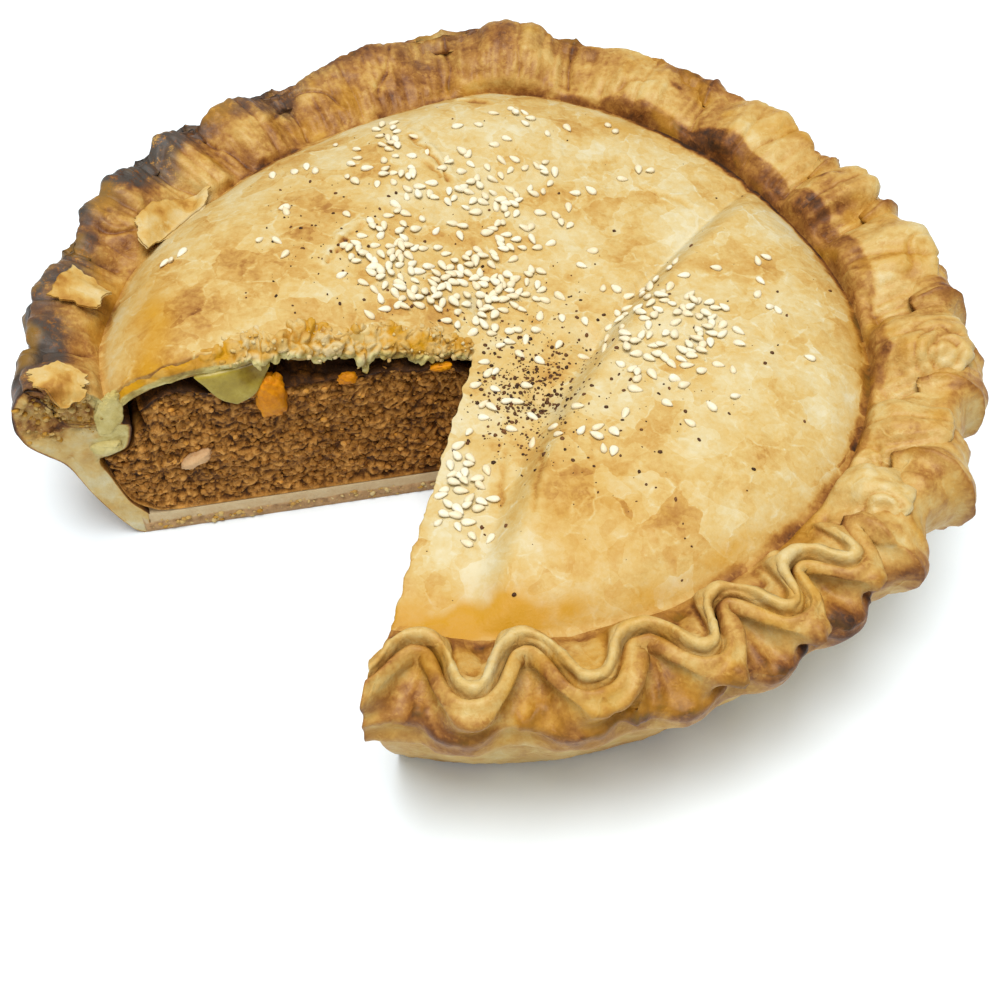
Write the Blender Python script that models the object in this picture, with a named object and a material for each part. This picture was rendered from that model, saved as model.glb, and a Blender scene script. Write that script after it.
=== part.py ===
"""A double-crust meat pie, 234 mm across, with one slice taken out. Metres, +Z up.

Angles are in degrees, anticlockwise from +X seen from above. A row is a ring round the pie's
axis and a column is an upright plane through the tip of the missing slice, so both cut faces
are columns. Each crust is a band between an outer and an inner list of rows.
"""

import math

import bmesh
import bpy
import numpy as np
from mathutils import Vector
from mathutils.bvhtree import BVHTree

MM = 0.001

# Plan of the pie
AXIS = np.array((-1.95, -0.65)) * MM  # the pie's axis; the origin is under the middle of its box
TIP = np.array((-3.9, -12.4)) * MM  # tip of the missing slice, from the pie's axis
RIGHT_CUT = 257.2  # direction of the cut face at the front, from the tip
LEFT_CUT = 550.4  # direction of the cut face at the left, a turn further on
INNER_RADIUS = 20 * MM  # rows inside this radius are scaled towards the tip
SEAM_START = 92.6 * MM  # where the crusts meet over the filling
SEAM_GAP = 0.5 * MM  # between the two layers of dough in the crimped rim
REST_GAP = 0.3 * MM  # between pieces that touch

# Heights
FLOOR_TOP = 7.2 * MM  # upper face of the bottom crust
GROOVE_HEIGHT = 47 * MM
LID_THICKNESS = 4.6 * MM
LID_GAP = 0.8 * MM  # between the lid and the filling
MEAT_TOP = 47.2 * MM  # the filling's upper edge at the left cut
MEAT_HUMP = 3.5 * MM  # where it is piled up, at MEAT_HUMP_PLACE from the tip
MEAT_HUMP_PLACE, MEAT_HUMP_WIDTH = 71 * MM, 7 * MM
MEAT_TIP_DROP, MEAT_TIP_REACH = 5 * MM, 10 * MM  # lower near the tip
MEAT_WALL_DROP, MEAT_WALL_START = 3 * MM, 76 * MM  # and towards the wall
MEAT_UNEVEN, MEAT_LUMP = 0.9 * MM, 9 * MM
MEAT_DENT = 0.7 * MM  # mean depth of the crumbly bumps on the cut faces
MEAT_COARSE, MEAT_FINE = 7 * MM, 3 * MM  # their sizes
MEAT_BLEND = 26 * MM  # the filling meets the lid again this far behind the cut
MEAT_LAYERS = 8  # rows of bumps on its cut faces, from the floor up

# The lid's two swells, which meet in a fold: x = a + b y + c y² from the pie's axis
FOLD = (32.4 * MM, 0.632, 2.41)
FOLD_WIDTH = 9 * MM
VALLEY_RISE = 3 * MM
RIGHT_RISE = 10 * MM
LEFT_RISE = 14 * MM
LEFT_START, LEFT_WIDTH = 14 * MM, 58 * MM
BACK_LOSS, BACK_WIDTH = 0.22, 60 * MM  # the left swell is lower towards the back
DOME_POWER = 7
LID_UNEVEN, LID_HILL = 0.7 * MM, 42 * MM
LEFT_EDGE_RISE = 3 * MM  # the lid's edge climbs this much beside the left cut
GROOVE_NOMINAL = 92 * MM
# Rings of the lid: radius, every nth column above, every nth column below
LID_RINGS = (
    (7, 8, 8), (13, 8, 8), (20, 4, 8), (28, 4, 8), (36, 4, 8), (44, 4, 8), (52, 4, 8),
    (60, 2, 8), (67, 2, 8), (74, 2, 8), (80, 2, 4), (84, 2, 4), (88, 1, 4),
)

# Vents pressed into the lid: x, y, radius, depth
VENTS = np.array(((23.7, -9.9, 4.5, 2.6), (11.2, -27.9, 3.4, 2.0), (-2.8, 2.4, 2.4, 1.8))) * MM

# The lid's torn edge at the left cut
TEAR_DEPTH = 5.0 * MM  # how far the top of the edge stands back from the cut
TEAR_RAGGED = 2.2 * MM
TEAR_REACH = 26 * MM  # the dough bends back over this distance
TEAR_START, TEAR_END = 16 * MM, 62 * MM  # full between these distances; past them the cut is clean
TEAR_CLEAN = 0.28  # share of the depth left there
TEAR_UNDER = 0.25  # share of the depth on the lid's lower face

# Crimped rim: the angles at which the dough is pinched in, at the ridge
PINCHES = (
    261.3, 273.8, 287.7, 299.2, 310.0, 319.1, 331.3, 345.2, 360.3, 379.2,
    391.0, 414.0, 437.0, 457.0, 484.5, 499.0, 509.0, 529.0, 549.0,
)
BEFORE_FIRST, AFTER_LAST = 248.0, 563.0

# Measures of the rim at these angles, in millimetres and, for the lean, degrees
RIM_ANGLES = (257, 300, 330, 352, 379, 391, 412, 432, 450, 464, 484, 505, 528, 545, 557)
RIM_GROOVE = (92, 92.5, 93.5, 92.5, 88.5, 87.3, 89.3, 92, 95, 90, 86.5, 88.5, 94, 95.5, 94.5)
RIM_RIDGE = (105, 105.5, 107, 109, 107, 104, 106, 108, 111, 108, 103, 106.5, 106, 106.5, 106)
RIM_RIDGE_WAVE = (6.0, 6.0, 3.5, 3.0, 2.0, 2.5, 1.5, 2.0, 1.5, 1.5, 2.0, 1.0, 1.5, 2.0, 1.0)
RIM_TOP = (54.5, 54.5, 54.5, 54.5, 54, 53.5, 54, 54.5, 56.5, 55, 53, 54.5, 54, 57, 57.5)
RIM_SLOPE = (5.5, 6.0, 7.0, 11, 12, 11, 13, 13, 13, 14, 13, 14, 10, 8, 7)
RIM_OUT = (115, 116, 118, 119, 115, 112, 114, 115, 117, 115, 110, 113, 113, 115, 117)
RIM_OUT_WAVE = (1.6, 2.2, 1.8, 2.4, 1.8, 2.0, 1.5, 2.0, 1.2, 1.2, 2.0, 1.0, 2.0, 2.0, 0.6)
RIM_SHELF = (48.5, 49, 50, 50, 50, 49, 50, 51, 52, 51, 49, 50, 50, 52, 53)
RIM_LEAN = (0.3, 4.4, 4.0, 2.0, 0, 0, 0, 0, 0, 0, 0, 0, 0, 0, 0)
FLUTE_SEED = 4
FLUTE_UNEVEN = 0.22  # how much one flute's depth differs from the next
FLUTE_SHARPNESS = 1.2
RIDGE_WAVE_HEIGHT = 0.7 * MM  # an outward flute stands this much higher
# Crimped ridge, inside and outside its middle: distance from the ridge, and below its top
CRIMP_SHOULDER, CRIMP_INSIDE, CRIMP_OUTSIDE = (3.2 * MM, 0.9 * MM), (1.6 * MM, 0.0), (1.7 * MM, 0.1 * MM)
CRIMP_FLANK = 3.6 * MM  # where the ridge runs out into the shelf outside it
FOOT_LEAST, FOOT_RISE = 0.4, 0.33  # least share of the way, and of the height, to the slope's foot
SEAM_LOW, SEAM_BEND = 42.2 * MM, 45.4 * MM  # heights of the seam at its inner end and its bend
SEAM_DEPTH = 0.9 * MM  # the seam's groove in the ridge
EDGE_HEIGHT = 44.5 * MM  # lowest edge of the overhanging rim
EDGE_ROUND = 1.6 * MM

BASE_RINGS = (20, 60, 88)
# Outer wall of the bottom crust from the base to the rim: radius, height, every nth column
WALL_OUT = ((95.6, 0, 4), (98, 2, 4), (101.6, 10, 4), (104.2, 20, 4), (106.9, 31, 2), (112.6, 38, 2))
WALL_IN = ((94.0, 8.8), (97.0, 14), (99.6, 24.5), (100.6, 31), (93.8, 33.6), (91.2, 40.2), (91.4, 41.2))
MEAT_SHOULDER = ((87.6, 40.6), (90.4, 38.6), (92.9, 33.2), (99.6, 30.4))
MEAT_HEEL = ((86.5, 7.6), (91.0, 8.6), (96.3, 13.8), (99.0, 24.6))
WALL_WAVE = 0.55  # share of the outer wave that carries on down the upper wall

# Columns
COLUMNS_PER_TURN_OF_RIM = 152  # a multiple of 8
RIM_AIM = 105 * MM  # a column's angle is taken where it crosses this radius

# Sesame seeds: patches of x, y, spread in x, spread in y, and how many
SEED_SIZE = np.array((3.5, 2.0, 1.25)) * MM
SEED_CLEAR = 3.7 * MM  # least distance between two seeds
SEED_DROP = 90 * MM  # a height above the whole lid
SEED_SINK = 0.2  # share of its height by which a seed's middle stands above the lid
SEED_RINGS = ((-0.28, 0.75), (0.16, 1.0))  # place along a seed, share of its width
SEED_SIDES = 4
SEED_RANDOM = 11
SEED_FROM_LEFT, SEED_FROM_RIGHT, SEED_FROM_EDGE = 8 * MM, 2.6 * MM, 5 * MM  # least distances
SEED_PATCHES = (
    (-5, 7, 13, 10, 26),
    (-24, 10, 6, 8, 10),
    (47, -9, 9, 8, 20),
    (4, 40, 17, 11, 20),
    (-31, 58, 6, 8, 7),
    (10, 68, 16, 6, 4),
    (2, -55, 5, 7, 6),
    (20, -44, 7, 5, 4),
    (66, -2, 8, 14, 5),
    (-78, 13, 4, 2, 3),
    (-50, 22, 8, 12, 3),
)

# Lifted flakes of pastry on the rim: their angles, and radius and height from root to free edge
LID_FLAKES = ((503, 522, ((102, 52.6), (98, 53.7), (94, 53.2), (88.5, 51.4))),)
WALL_FLAKES = (
    (531, 538.5, ((112, 50.5), (108.8, 58.2), (103.5, 59.9), (98, 60.2))),
    (549.5, 555, ((114, 52.0), (111.5, 59.2), (106.5, 60.6), (102, 60.2))),
)
FLAKE_COLUMNS = 6
FLAKE_THICKNESS = 1.3 * MM
FLAKE_RAGGED = 0.8 * MM

# Cheddar in the left cut: distance from the tip, height and half sizes along, out and up
CHEDDAR = ((49.8, 45.0, 4.6, 3.0, 5.0), (27.5, 45.6, 2.3, 1.8, 1.7), (9.0, 38.0, 2.6, 1.9, 1.8))
CHEDDAR_OUT = -0.8 * MM  # its middle, out of the cut face
CHEDDAR_SQUARENESS, CHEDDAR_UNEVEN = 0.6, 0.07
# Melted cheese hanging over the lid's torn edge: height and how far out of the cut face,
# and the ends of its top and bottom edges, along the cut from the tip
DRAPE_PROFILE = ((58.2, -0.7), (56.2, 0.8), (53.5, 1.3), (50.5, 1.7), (47.5, 1.8), (44.8, 1.9))
DRAPE_TOP_ENDS = np.array((48.8, 62.0)) * MM
DRAPE_BOTTOM_ENDS = np.array((56.9, 59.9)) * MM
DRAPE_COLUMNS = 5
DRAPE_THICKNESS = 1.1 * MM


def smooth(value):
    """An S curve from 0 at 0 to 1 at 1, level outside."""
    value = np.clip(value, 0.0, 1.0)
    return value * value * (3 - 2 * value)


def waves(x, y, size, phase=0.0):
    """Soft, uneven hills between -1 and 1, about `size` apart: four crossed sine waves."""
    x = x / size
    y = y / size
    return 0.25 * (
        np.sin(3.1 * x + 1.7 * y + phase)
        + np.sin(-2.3 * x + 2.9 * y + 1.9 + 2 * phase)
        + np.sin(4.3 * x + 0.9 * np.sin(2.1 * y) + 4.1 + phase)
        + np.sin(0.8 * x - 4.7 * y + 2.6 * np.sin(1.3 * x) + 0.7)
    )


# ---------------------------------------------------------------- plan


def flute_phase(angle):
    """How many pinches lie before this angle, with its fraction."""
    stops = (BEFORE_FIRST,) + PINCHES + (AFTER_LAST,)
    return np.interp(angle, stops, np.arange(len(stops)) - 1.0)


def column_angles():
    """Rim angles of the columns, evenly spaced within each flute."""
    ends = [rim_angle(RIGHT_CUT), rim_angle(LEFT_CUT)]
    stops = (BEFORE_FIRST,) + PINCHES + (AFTER_LAST,)
    phases = np.linspace(*flute_phase(ends), COLUMNS_PER_TURN_OF_RIM + 1)
    return np.interp(phases, np.arange(len(stops)) - 1.0, stops)


def reach(direction, radius):
    """Distance from the tip, along a direction, to the circle of this radius."""
    heading = np.radians(direction)
    along = TIP[0] * np.cos(heading) + TIP[1] * np.sin(heading)
    return np.sqrt(along**2 - TIP @ TIP + np.square(radius)) - along


def rim_angle(direction):
    """Angle round the pie's axis at which a line from the tip crosses the rim."""
    distance = reach(direction, RIM_AIM)
    heading = math.radians(direction)
    angle = math.degrees(
        math.atan2(TIP[1] + distance * math.sin(heading), TIP[0] + distance * math.cos(heading))
    )
    return angle + 360 * round((direction - angle) / 360)


def column_directions(angles):
    """Directions from the tip of the columns with these rim angles."""
    heading = np.radians(angles)
    direction = np.degrees(
        np.arctan2(RIM_AIM * np.sin(heading) - TIP[1], RIM_AIM * np.cos(heading) - TIP[0])
    )
    return direction + 360 * np.round((angles - direction) / 360)


ANGLES = column_angles()
DIRECTIONS = column_directions(ANGLES)


def ring(radius, set_back=0.0):
    """Plan points of one row. The last columns bend back from the left cut by `set_back`."""
    radius = np.broadcast_to(np.asarray(radius, float), ANGLES.shape)
    distance = reach(DIRECTIONS, np.maximum(radius, INNER_RADIUS))
    distance = distance * np.minimum(radius / INNER_RADIUS, 1.0)
    heading = np.radians(DIRECTIONS)
    plan = TIP + distance[:, None] * np.stack((np.cos(heading), np.sin(heading)), -1)
    turn = np.radians(LEFT_CUT - DIRECTIONS)
    from_cut = np.where(turn < math.pi / 3, distance * np.sin(np.minimum(turn, 1.6)), TEAR_REACH)
    push = set_back * np.square(1 - np.minimum(from_cut / TEAR_REACH, 1.0))
    inward = math.radians(LEFT_CUT - 90)
    return plan + push[:, None] * np.array((math.cos(inward), math.sin(inward)))


def lift(plan, height):
    """Plan points with a height."""
    height = np.broadcast_to(height, plan.shape[:1])
    return np.concatenate((plan, height[:, None]), axis=1)


# ---------------------------------------------------------------- lid


def fold_distance(x, y):
    """Distance across the fold: positive on the right-hand swell."""
    start, slope, curve = FOLD
    lean = slope + 2 * curve * y
    return (x - (start + slope * y + curve * y * y)) / np.sqrt(1 + lean * lean)


def lid_rise(x, y):
    """Height of the swells over the groove, before the dome falls to the rim."""
    across = fold_distance(x, y)
    right = smooth((across + 0.2 * FOLD_WIDTH) / FOLD_WIDTH) * (RIGHT_RISE - VALLEY_RISE)
    left = smooth((-across - LEFT_START) / LEFT_WIDTH) * (LEFT_RISE - VALLEY_RISE)
    back = 1 - BACK_LOSS * smooth(y / BACK_WIDTH)
    return VALLEY_RISE + right + left * back


def groove_radius(angle):
    """Radius of the lid's edge at these angles."""
    return np.interp(angle, RIM_ANGLES, RIM_GROOVE) * MM


def pie_angle(x, y):
    """Angle round the pie's axis, from the right cut to a turn further on."""
    angle = np.degrees(np.arctan2(y, x))
    return np.where(angle < RIM_ANGLES[0] - 360, angle + 720, angle + 360)


def lid_height(x, y):
    """Upper face of the lid: two swells under a dome that is level in the middle."""
    radius = np.hypot(x, y) / groove_radius(pie_angle(x, y))
    dome = 1 - np.minimum(radius, 1.0) ** DOME_POWER
    left_edge = LEFT_EDGE_RISE * smooth((-x - 60 * MM) / (30 * MM)) * smooth((20 * MM - y) / (40 * MM))
    height = GROOVE_HEIGHT + left_edge + lid_rise(x, y) * dome
    height = height + LID_UNEVEN * dome * waves(x, y, LID_HILL)
    for vent_x, vent_y, vent_radius, vent_depth in VENTS:
        away = np.hypot(x - vent_x, y - vent_y) / vent_radius
        height = height - vent_depth * np.exp(-away * away)
    return height


def tear(radius):
    """How far the lid's upper edge stands back from the left cut at this radius."""
    ragged = math.sin(radius / MM * 0.9) + math.sin(radius / MM * 0.43 + 1.0)
    depth = TEAR_DEPTH + 0.5 * TEAR_RAGGED * ragged
    start = min(radius / TEAR_START, 1.0)
    end = 1 - (1 - TEAR_CLEAN) * float(smooth((radius - TEAR_END) / (12 * MM)))
    return depth * start * end


def cut_frame(plan):
    """Distance along the left cut from the tip, and behind it, of plan points."""
    offset = plan - TIP
    heading = math.radians(LEFT_CUT)
    along = offset @ np.array((math.cos(heading), math.sin(heading)))
    behind = offset @ np.array((math.sin(heading), -math.cos(heading)))
    return along, behind


def cut_point(along, out, height):
    """A point this far along the left cut from the tip, and this far out of the cut face."""
    heading = math.radians(LEFT_CUT)
    x = TIP[0] + along * math.cos(heading) - out * math.sin(heading)
    y = TIP[1] + along * math.sin(heading) + out * math.cos(heading)
    return Vector((x, y, height))


def meat_height(plan):
    """Upper face of the filling: up to the lid, but lower near the left cut."""
    along, behind = cut_frame(plan)
    under_lid = lid_height(*plan.T) - LID_THICKNESS - LID_GAP
    hump = MEAT_HUMP * np.exp(-np.square((along - MEAT_HUMP_PLACE) / MEAT_HUMP_WIDTH))
    tip_drop = MEAT_TIP_DROP * smooth(1 - along / MEAT_TIP_REACH)
    wall_drop = MEAT_WALL_DROP * smooth((along - MEAT_WALL_START) / MEAT_TIP_REACH)
    near_cut = MEAT_TOP + hump - tip_drop - wall_drop
    near_cut = near_cut + MEAT_UNEVEN * waves(along, behind, MEAT_LUMP)
    share = np.where(along > 0, smooth(behind / MEAT_BLEND), 1.0)
    return share * under_lid + (1 - share) * np.minimum(under_lid, near_cut)


# ---------------------------------------------------------------- rim


def rim_value(values, angle):
    """One of the rim's measures at these angles, in metres."""
    return np.interp(angle, RIM_ANGLES, values) * MM


def flute(angle):
    """Flute wave at these angles: -1 at a pinch, 1 between two, of uneven depth."""
    phase = flute_phase(angle)
    depth = np.random.default_rng(FLUTE_SEED).uniform(-1, 1, len(PINCHES) + 2)
    depth = 1 + FLUTE_UNEVEN * np.interp(phase + 1, np.arange(len(depth)), depth)
    wave = np.tanh(FLUTE_SHARPNESS * np.cos(2 * math.pi * phase))
    return -wave / math.tanh(FLUTE_SHARPNESS) * depth


def rim_section(angle):
    """Ridge radius, ridge height, inner slope, outer radius and shelf height of the rim."""
    wave = flute(angle)
    lean = np.interp(angle, RIM_ANGLES, RIM_LEAN)
    outer_wave = flute(angle + lean)
    ridge = rim_value(RIM_RIDGE, angle) + wave * rim_value(RIM_RIDGE_WAVE, angle)
    top = rim_value(RIM_TOP, angle) + RIDGE_WAVE_HEIGHT * wave
    slope = rim_value(RIM_SLOPE, angle)
    outer = rim_value(RIM_OUT, angle) + outer_wave * rim_value(RIM_OUT_WAVE, angle)
    return ridge, top, slope, outer, rim_value(RIM_SHELF, angle)


# ---------------------------------------------------------------- meshes


def stitch(mesh, first, second):
    """Faces between two rows of vertices; the longer row's count is a multiple of the other's."""
    if len(first) > len(second):
        first, second = second, first
    parts = max(len(first) - 1, 1)
    step = (len(second) - 1) // parts
    for part in range(parts):
        fine = second[part * step : (part + 1) * step + 1]
        coarse = first[part : part + 2]
        if len(first) == 1:
            for left, right in zip(fine, fine[1:]):
                mesh.faces.new((first[0], left, right))
        else:
            mesh.faces.new(coarse + fine[::-1])


def add_rows(mesh, rows):
    """Vertices of the rows. Each row is (points, every nth column); one point is a pole."""
    made = []
    for points, every in rows:
        made.append([mesh.verts.new(point) for point in points[::every]])
    return made


def close_end(mesh, upper, lower, side, layers, relief):
    """Cut face between the ends of two lists of rows, in layers, pushed in by a relief."""
    lines = []
    for number, (top, bottom) in enumerate(zip(upper, lower)):
        start, end = top[side], bottom[side]
        line = [start]
        if 0 < number < len(upper) - 1:
            for layer in range(1, layers):
                place = start.co.lerp(end.co, layer / layers)
                line.append(mesh.verts.new(place + relief(place)))
        lines.append(line + [end])
    for near, far in zip(lines, lines[1:]):
        stitch(mesh, near, far)


def band(name, colour, roughness, upper_rows, lower_rows, layers=1, reliefs=(None, None)):
    """A closed solid between two lists of rows, as a named object."""
    mesh = bmesh.new()
    upper = add_rows(mesh, upper_rows)
    lower = add_rows(mesh, lower_rows)
    for rows in (upper, lower):
        for near, far in zip(rows, rows[1:]):
            stitch(mesh, near, far)
    stitch(mesh, upper[-1], lower[-1])
    close_end(mesh, upper, lower, 0, layers, reliefs[0])
    close_end(mesh, upper, lower, -1, layers, reliefs[1])
    return finish_mesh(name, mesh, colour, roughness)


def finish_mesh(name, mesh, colour, roughness):
    """Turns the faces outwards, moves the mesh to the origin's frame and links its object."""
    bmesh.ops.triangulate(mesh, faces=[face for face in mesh.faces if len(face.verts) > 3])
    bmesh.ops.recalc_face_normals(mesh, faces=mesh.faces)
    bmesh.ops.translate(mesh, verts=mesh.verts, vec=(AXIS[0], AXIS[1], 0.0))
    data = bpy.data.meshes.new(name)
    mesh.to_mesh(data)
    mesh.free()
    data.shade_smooth()
    data.materials.append(dough_material(name, colour, roughness))
    piece = bpy.data.objects.new(name, data)
    bpy.context.scene.collection.objects.link(piece)
    return piece


def dough_material(name, colour, roughness):
    """A plain food material of one colour."""
    material = bpy.data.materials.new(name)
    material.use_nodes = True
    shader = material.node_tree.nodes["Principled BSDF"]
    shader.inputs["Base Color"].default_value = (*colour, 1.0)
    shader.inputs["Roughness"].default_value = roughness
    shader.inputs["Metallic"].default_value = 0.0
    return material


# ---------------------------------------------------------------- crusts


def lid_plans(radius):
    """Plan points of the lid's upper and lower face on one ring, torn back at the left cut."""
    share = smooth((radius * MM - INNER_RADIUS) / (GROOVE_NOMINAL - INNER_RADIUS))
    radii = radius * MM * (1 + share * (groove_radius(ANGLES) / GROOVE_NOMINAL - 1))
    under = TEAR_UNDER * tear((radius + 5) * MM)
    return ring(radii, tear(radius * MM)), ring(radii, under)


def seam_rows():
    """Rows of the seam between the crusts, from the lid's edge up to the ridge."""
    ridge, top, _, _, _ = rim_section(ANGLES)
    low = np.minimum(SEAM_START, ridge - 1.2 * MM)
    return ((low, SEAM_LOW, 2), (ridge - 0.6 * MM, SEAM_BEND, 2), (ridge, top - SEAM_DEPTH, 1))


def top_crust():
    """The lid, torn along the left cut, with the inner layer of the crimped rim."""
    upper = [(lift(ring(0.0)[:1], lid_height(*TIP)), 1)]
    lower = [(lift(ring(0.0)[:1], lid_height(*TIP) - LID_THICKNESS), 1)]
    for radius, above, below in LID_RINGS:
        plan, under = lid_plans(radius)
        upper.append((lift(plan, lid_height(*plan.T)), above))
        lower.append((lift(under, lid_height(*under.T) - LID_THICKNESS), below))

    ridge, top, slope, _, _ = rim_section(ANGLES)
    groove = np.minimum(groove_radius(ANGLES), ridge - slope - 0.6 * MM)
    groove_height = lid_height(*ring(groove_radius(ANGLES)).T)
    shoulder = ridge - CRIMP_SHOULDER[0]
    shoulder_height = top - CRIMP_SHOULDER[1]
    foot = np.maximum(groove + FOOT_LEAST * (shoulder - groove), ridge - slope)
    share = (foot - groove) / (shoulder - groove)
    foot_height = groove_height + (shoulder_height - groove_height) * (FOOT_RISE + 0.5 * share)
    upper.append((lift(ring(groove), groove_height), 1))
    upper.append((lift(ring(foot), foot_height), 1))
    upper.append((lift(ring(shoulder), shoulder_height), 1))
    upper.append((lift(ring(ridge - CRIMP_INSIDE[0]), top - CRIMP_INSIDE[1]), 1))
    lower.append((lift(ring(np.minimum(groove, 90 * MM)), SEAM_LOW + 0.2 * MM), 4))
    half_gap = 0.5 * SEAM_GAP
    for radius, height, every in seam_rows():
        lower.append((lift(ring(radius - half_gap), height + 0.5 * half_gap), every))
    return band("top_crust", (0.62, 0.36, 0.13), 0.5, upper, lower)


def bottom_crust():
    """Base and wall, with the outer layer of the crimped rim."""
    ridge, top, _, outer, shelf = rim_section(ANGLES)
    wave = outer - rim_value(RIM_OUT, ANGLES)
    outside = [(lift(ring(0.0)[:1], 0.0), 1)]
    inside = [(lift(ring(0.0)[:1], FLOOR_TOP), 1)]
    for radius in BASE_RINGS:
        outside.append((lift(ring(radius * MM), 0.0), 8))
        inside.append((lift(ring((radius - 1) * MM), FLOOR_TOP), 8))
    for radius, height, every in WALL_OUT:
        share = WALL_WAVE * height / WALL_OUT[-1][1]
        outside.append((lift(ring(radius * MM + share * wave), height * MM), every))
    outside.append((lift(ring(outer), EDGE_HEIGHT), 2))
    outside.append((lift(ring(outer - EDGE_ROUND), 0.6 * shelf + 0.4 * EDGE_HEIGHT), 1))
    outside.append((lift(ring(ridge + CRIMP_FLANK), 0.4 * shelf + 0.6 * top), 1))
    outside.append((lift(ring(ridge + CRIMP_OUTSIDE[0]), top - CRIMP_OUTSIDE[1]), 1))
    for radius, height in WALL_IN:
        inside.append((lift(ring(radius * MM), height * MM), 4))
    half_gap = 0.5 * SEAM_GAP
    for radius, height, every in seam_rows():
        inside.append((lift(ring(radius + half_gap), height - 0.5 * half_gap), every))
    return band("bottom_crust", (0.60, 0.38, 0.17), 0.6, outside, inside)


# ---------------------------------------------------------------- filling


def meat_relief(direction):
    """Push along a cut face's normal that makes the minced meat crumbly."""
    side = 1 if direction == RIGHT_CUT else -1
    heading = math.radians(direction + 90 * side)

    def relief(place):
        along = math.hypot(place.x - TIP[0], place.y - TIP[1])
        coarse = float(waves(along, place.z, MEAT_COARSE, 1.0))
        depth = MEAT_DENT * (0.9 - coarse - float(waves(along, place.z, MEAT_FINE)))
        return Vector((math.cos(heading) * depth, math.sin(heading) * depth, 0.0))

    return relief


def filling():
    """Minced meat from the floor to the lid, with rough cut faces and the steam gap."""
    upper = [(lift(ring(0.0)[:1], lid_height(*TIP) - LID_THICKNESS - MEAT_TIP_DROP), 1)]
    lower = [(lift(ring(0.0)[:1], FLOOR_TOP + REST_GAP), 1)]
    for radius, _, every in LID_RINGS[:-1]:
        under_lid = lid_plans(radius)[1]
        plan = ring(np.hypot(*under_lid.T))
        upper.append((lift(plan, meat_height(plan)), every))
        lower.append((lift(ring(radius * MM), FLOOR_TOP + REST_GAP), 8))
    for radius, height in MEAT_SHOULDER:
        upper.append((lift(ring(radius * MM), height * MM), 4))
    for radius, height in MEAT_HEEL:
        lower.append((lift(ring(radius * MM), height * MM), 4))
    reliefs = (meat_relief(RIGHT_CUT), meat_relief(LEFT_CUT))
    return band("meat_filling", (0.13, 0.065, 0.03), 0.75, upper, lower, MEAT_LAYERS, reliefs)


# ---------------------------------------------------------------- seeds and flakes


def keep_on_lid(x, y):
    """True where a seed may lie: on the lid and clear of both cuts."""
    along, behind = cut_frame(np.array(((x, y),)))
    heading = math.radians(RIGHT_CUT)
    right_along = (x - TIP[0]) * math.cos(heading) + (y - TIP[1]) * math.sin(heading)
    right_behind = -(x - TIP[0]) * math.sin(heading) + (y - TIP[1]) * math.cos(heading)
    clear_left = along[0] < 0 or behind[0] > SEED_FROM_LEFT
    clear_right = right_along < 0 or right_behind > SEED_FROM_RIGHT
    edge = float(groove_radius(float(pie_angle(x, y)))) - SEED_FROM_EDGE
    return clear_left and clear_right and math.hypot(x, y) < edge


def seed_places():
    """Plan places of the seeds: random draws in each patch, none too near another."""
    draw = np.random.default_rng(SEED_RANDOM)
    places = []
    for x, y, spread_x, spread_y, count in SEED_PATCHES:
        wanted = len(places) + count
        for _ in range(40 * count):
            place = draw.normal((x * MM, y * MM), (spread_x * MM, spread_y * MM))
            near = [math.dist(place, other) < SEED_CLEAR for other in places]
            if keep_on_lid(*place) and not any(near):
                places.append(place)
            if len(places) == wanted:
                break
    return places


def add_seed(mesh, lid, x, y, draw):
    """A teardrop lying on the lid's faces at this place, turned at random."""
    ground, normal, _, _ = lid.ray_cast(Vector((x, y, SEED_DROP)), Vector((0, 0, -1)))
    turn = draw.uniform(0, 2 * math.pi)
    length = Vector((math.cos(turn), math.sin(turn), 0.0))
    length = (length - normal * length.dot(normal)).normalized()
    side = normal.cross(length)
    long, wide, thick = SEED_SIZE * draw.uniform(0.9, 1.15)
    middle = ground + normal * thick * SEED_SINK
    rows = [[mesh.verts.new(middle - length * 0.5 * long)]]
    for place, share in SEED_RINGS:
        row = []
        for number in range(SEED_SIDES):
            around = 2 * math.pi * number / SEED_SIDES
            offset = side * math.cos(around) * wide + normal * math.sin(around) * thick
            row.append(mesh.verts.new(middle + length * place * long + 0.5 * share * offset))
        rows.append(row + row[:1])
    rows.append([mesh.verts.new(middle + length * 0.5 * long)])
    for near, far in zip(rows, rows[1:]):
        stitch(mesh, near, far)


def seeds(lid_piece):
    """The sesame seeds that lie on the lid, as one mesh of separate closed grains."""
    bare = bmesh.new()
    bare.from_mesh(lid_piece.data)
    lid = BVHTree.FromBMesh(bare)
    bare.free()
    mesh = bmesh.new()
    draw = np.random.default_rng(SEED_RANDOM + 1)
    for x, y in seed_places():
        add_seed(mesh, lid, x + AXIS[0], y + AXIS[1], draw)
    bmesh.ops.translate(mesh, verts=mesh.verts, vec=(-AXIS[0], -AXIS[1], 0.0))
    return finish_mesh("seeds", mesh, (0.85, 0.76, 0.58), 0.5)


def slab(mesh, front, back):
    """A closed slab between two grids of points of one shape."""
    faces = [[[mesh.verts.new(point) for point in row] for row in grid] for grid in (front, back)]
    for grid in faces:
        for near, far in zip(grid, grid[1:]):
            stitch(mesh, near, far)
    edges = []
    for grid in faces:
        turned = list(zip(*grid))
        edges.append((grid[0], grid[-1], list(turned[0]), list(turned[-1])))
    for near, far in zip(*edges):
        stitch(mesh, near, far)


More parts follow.
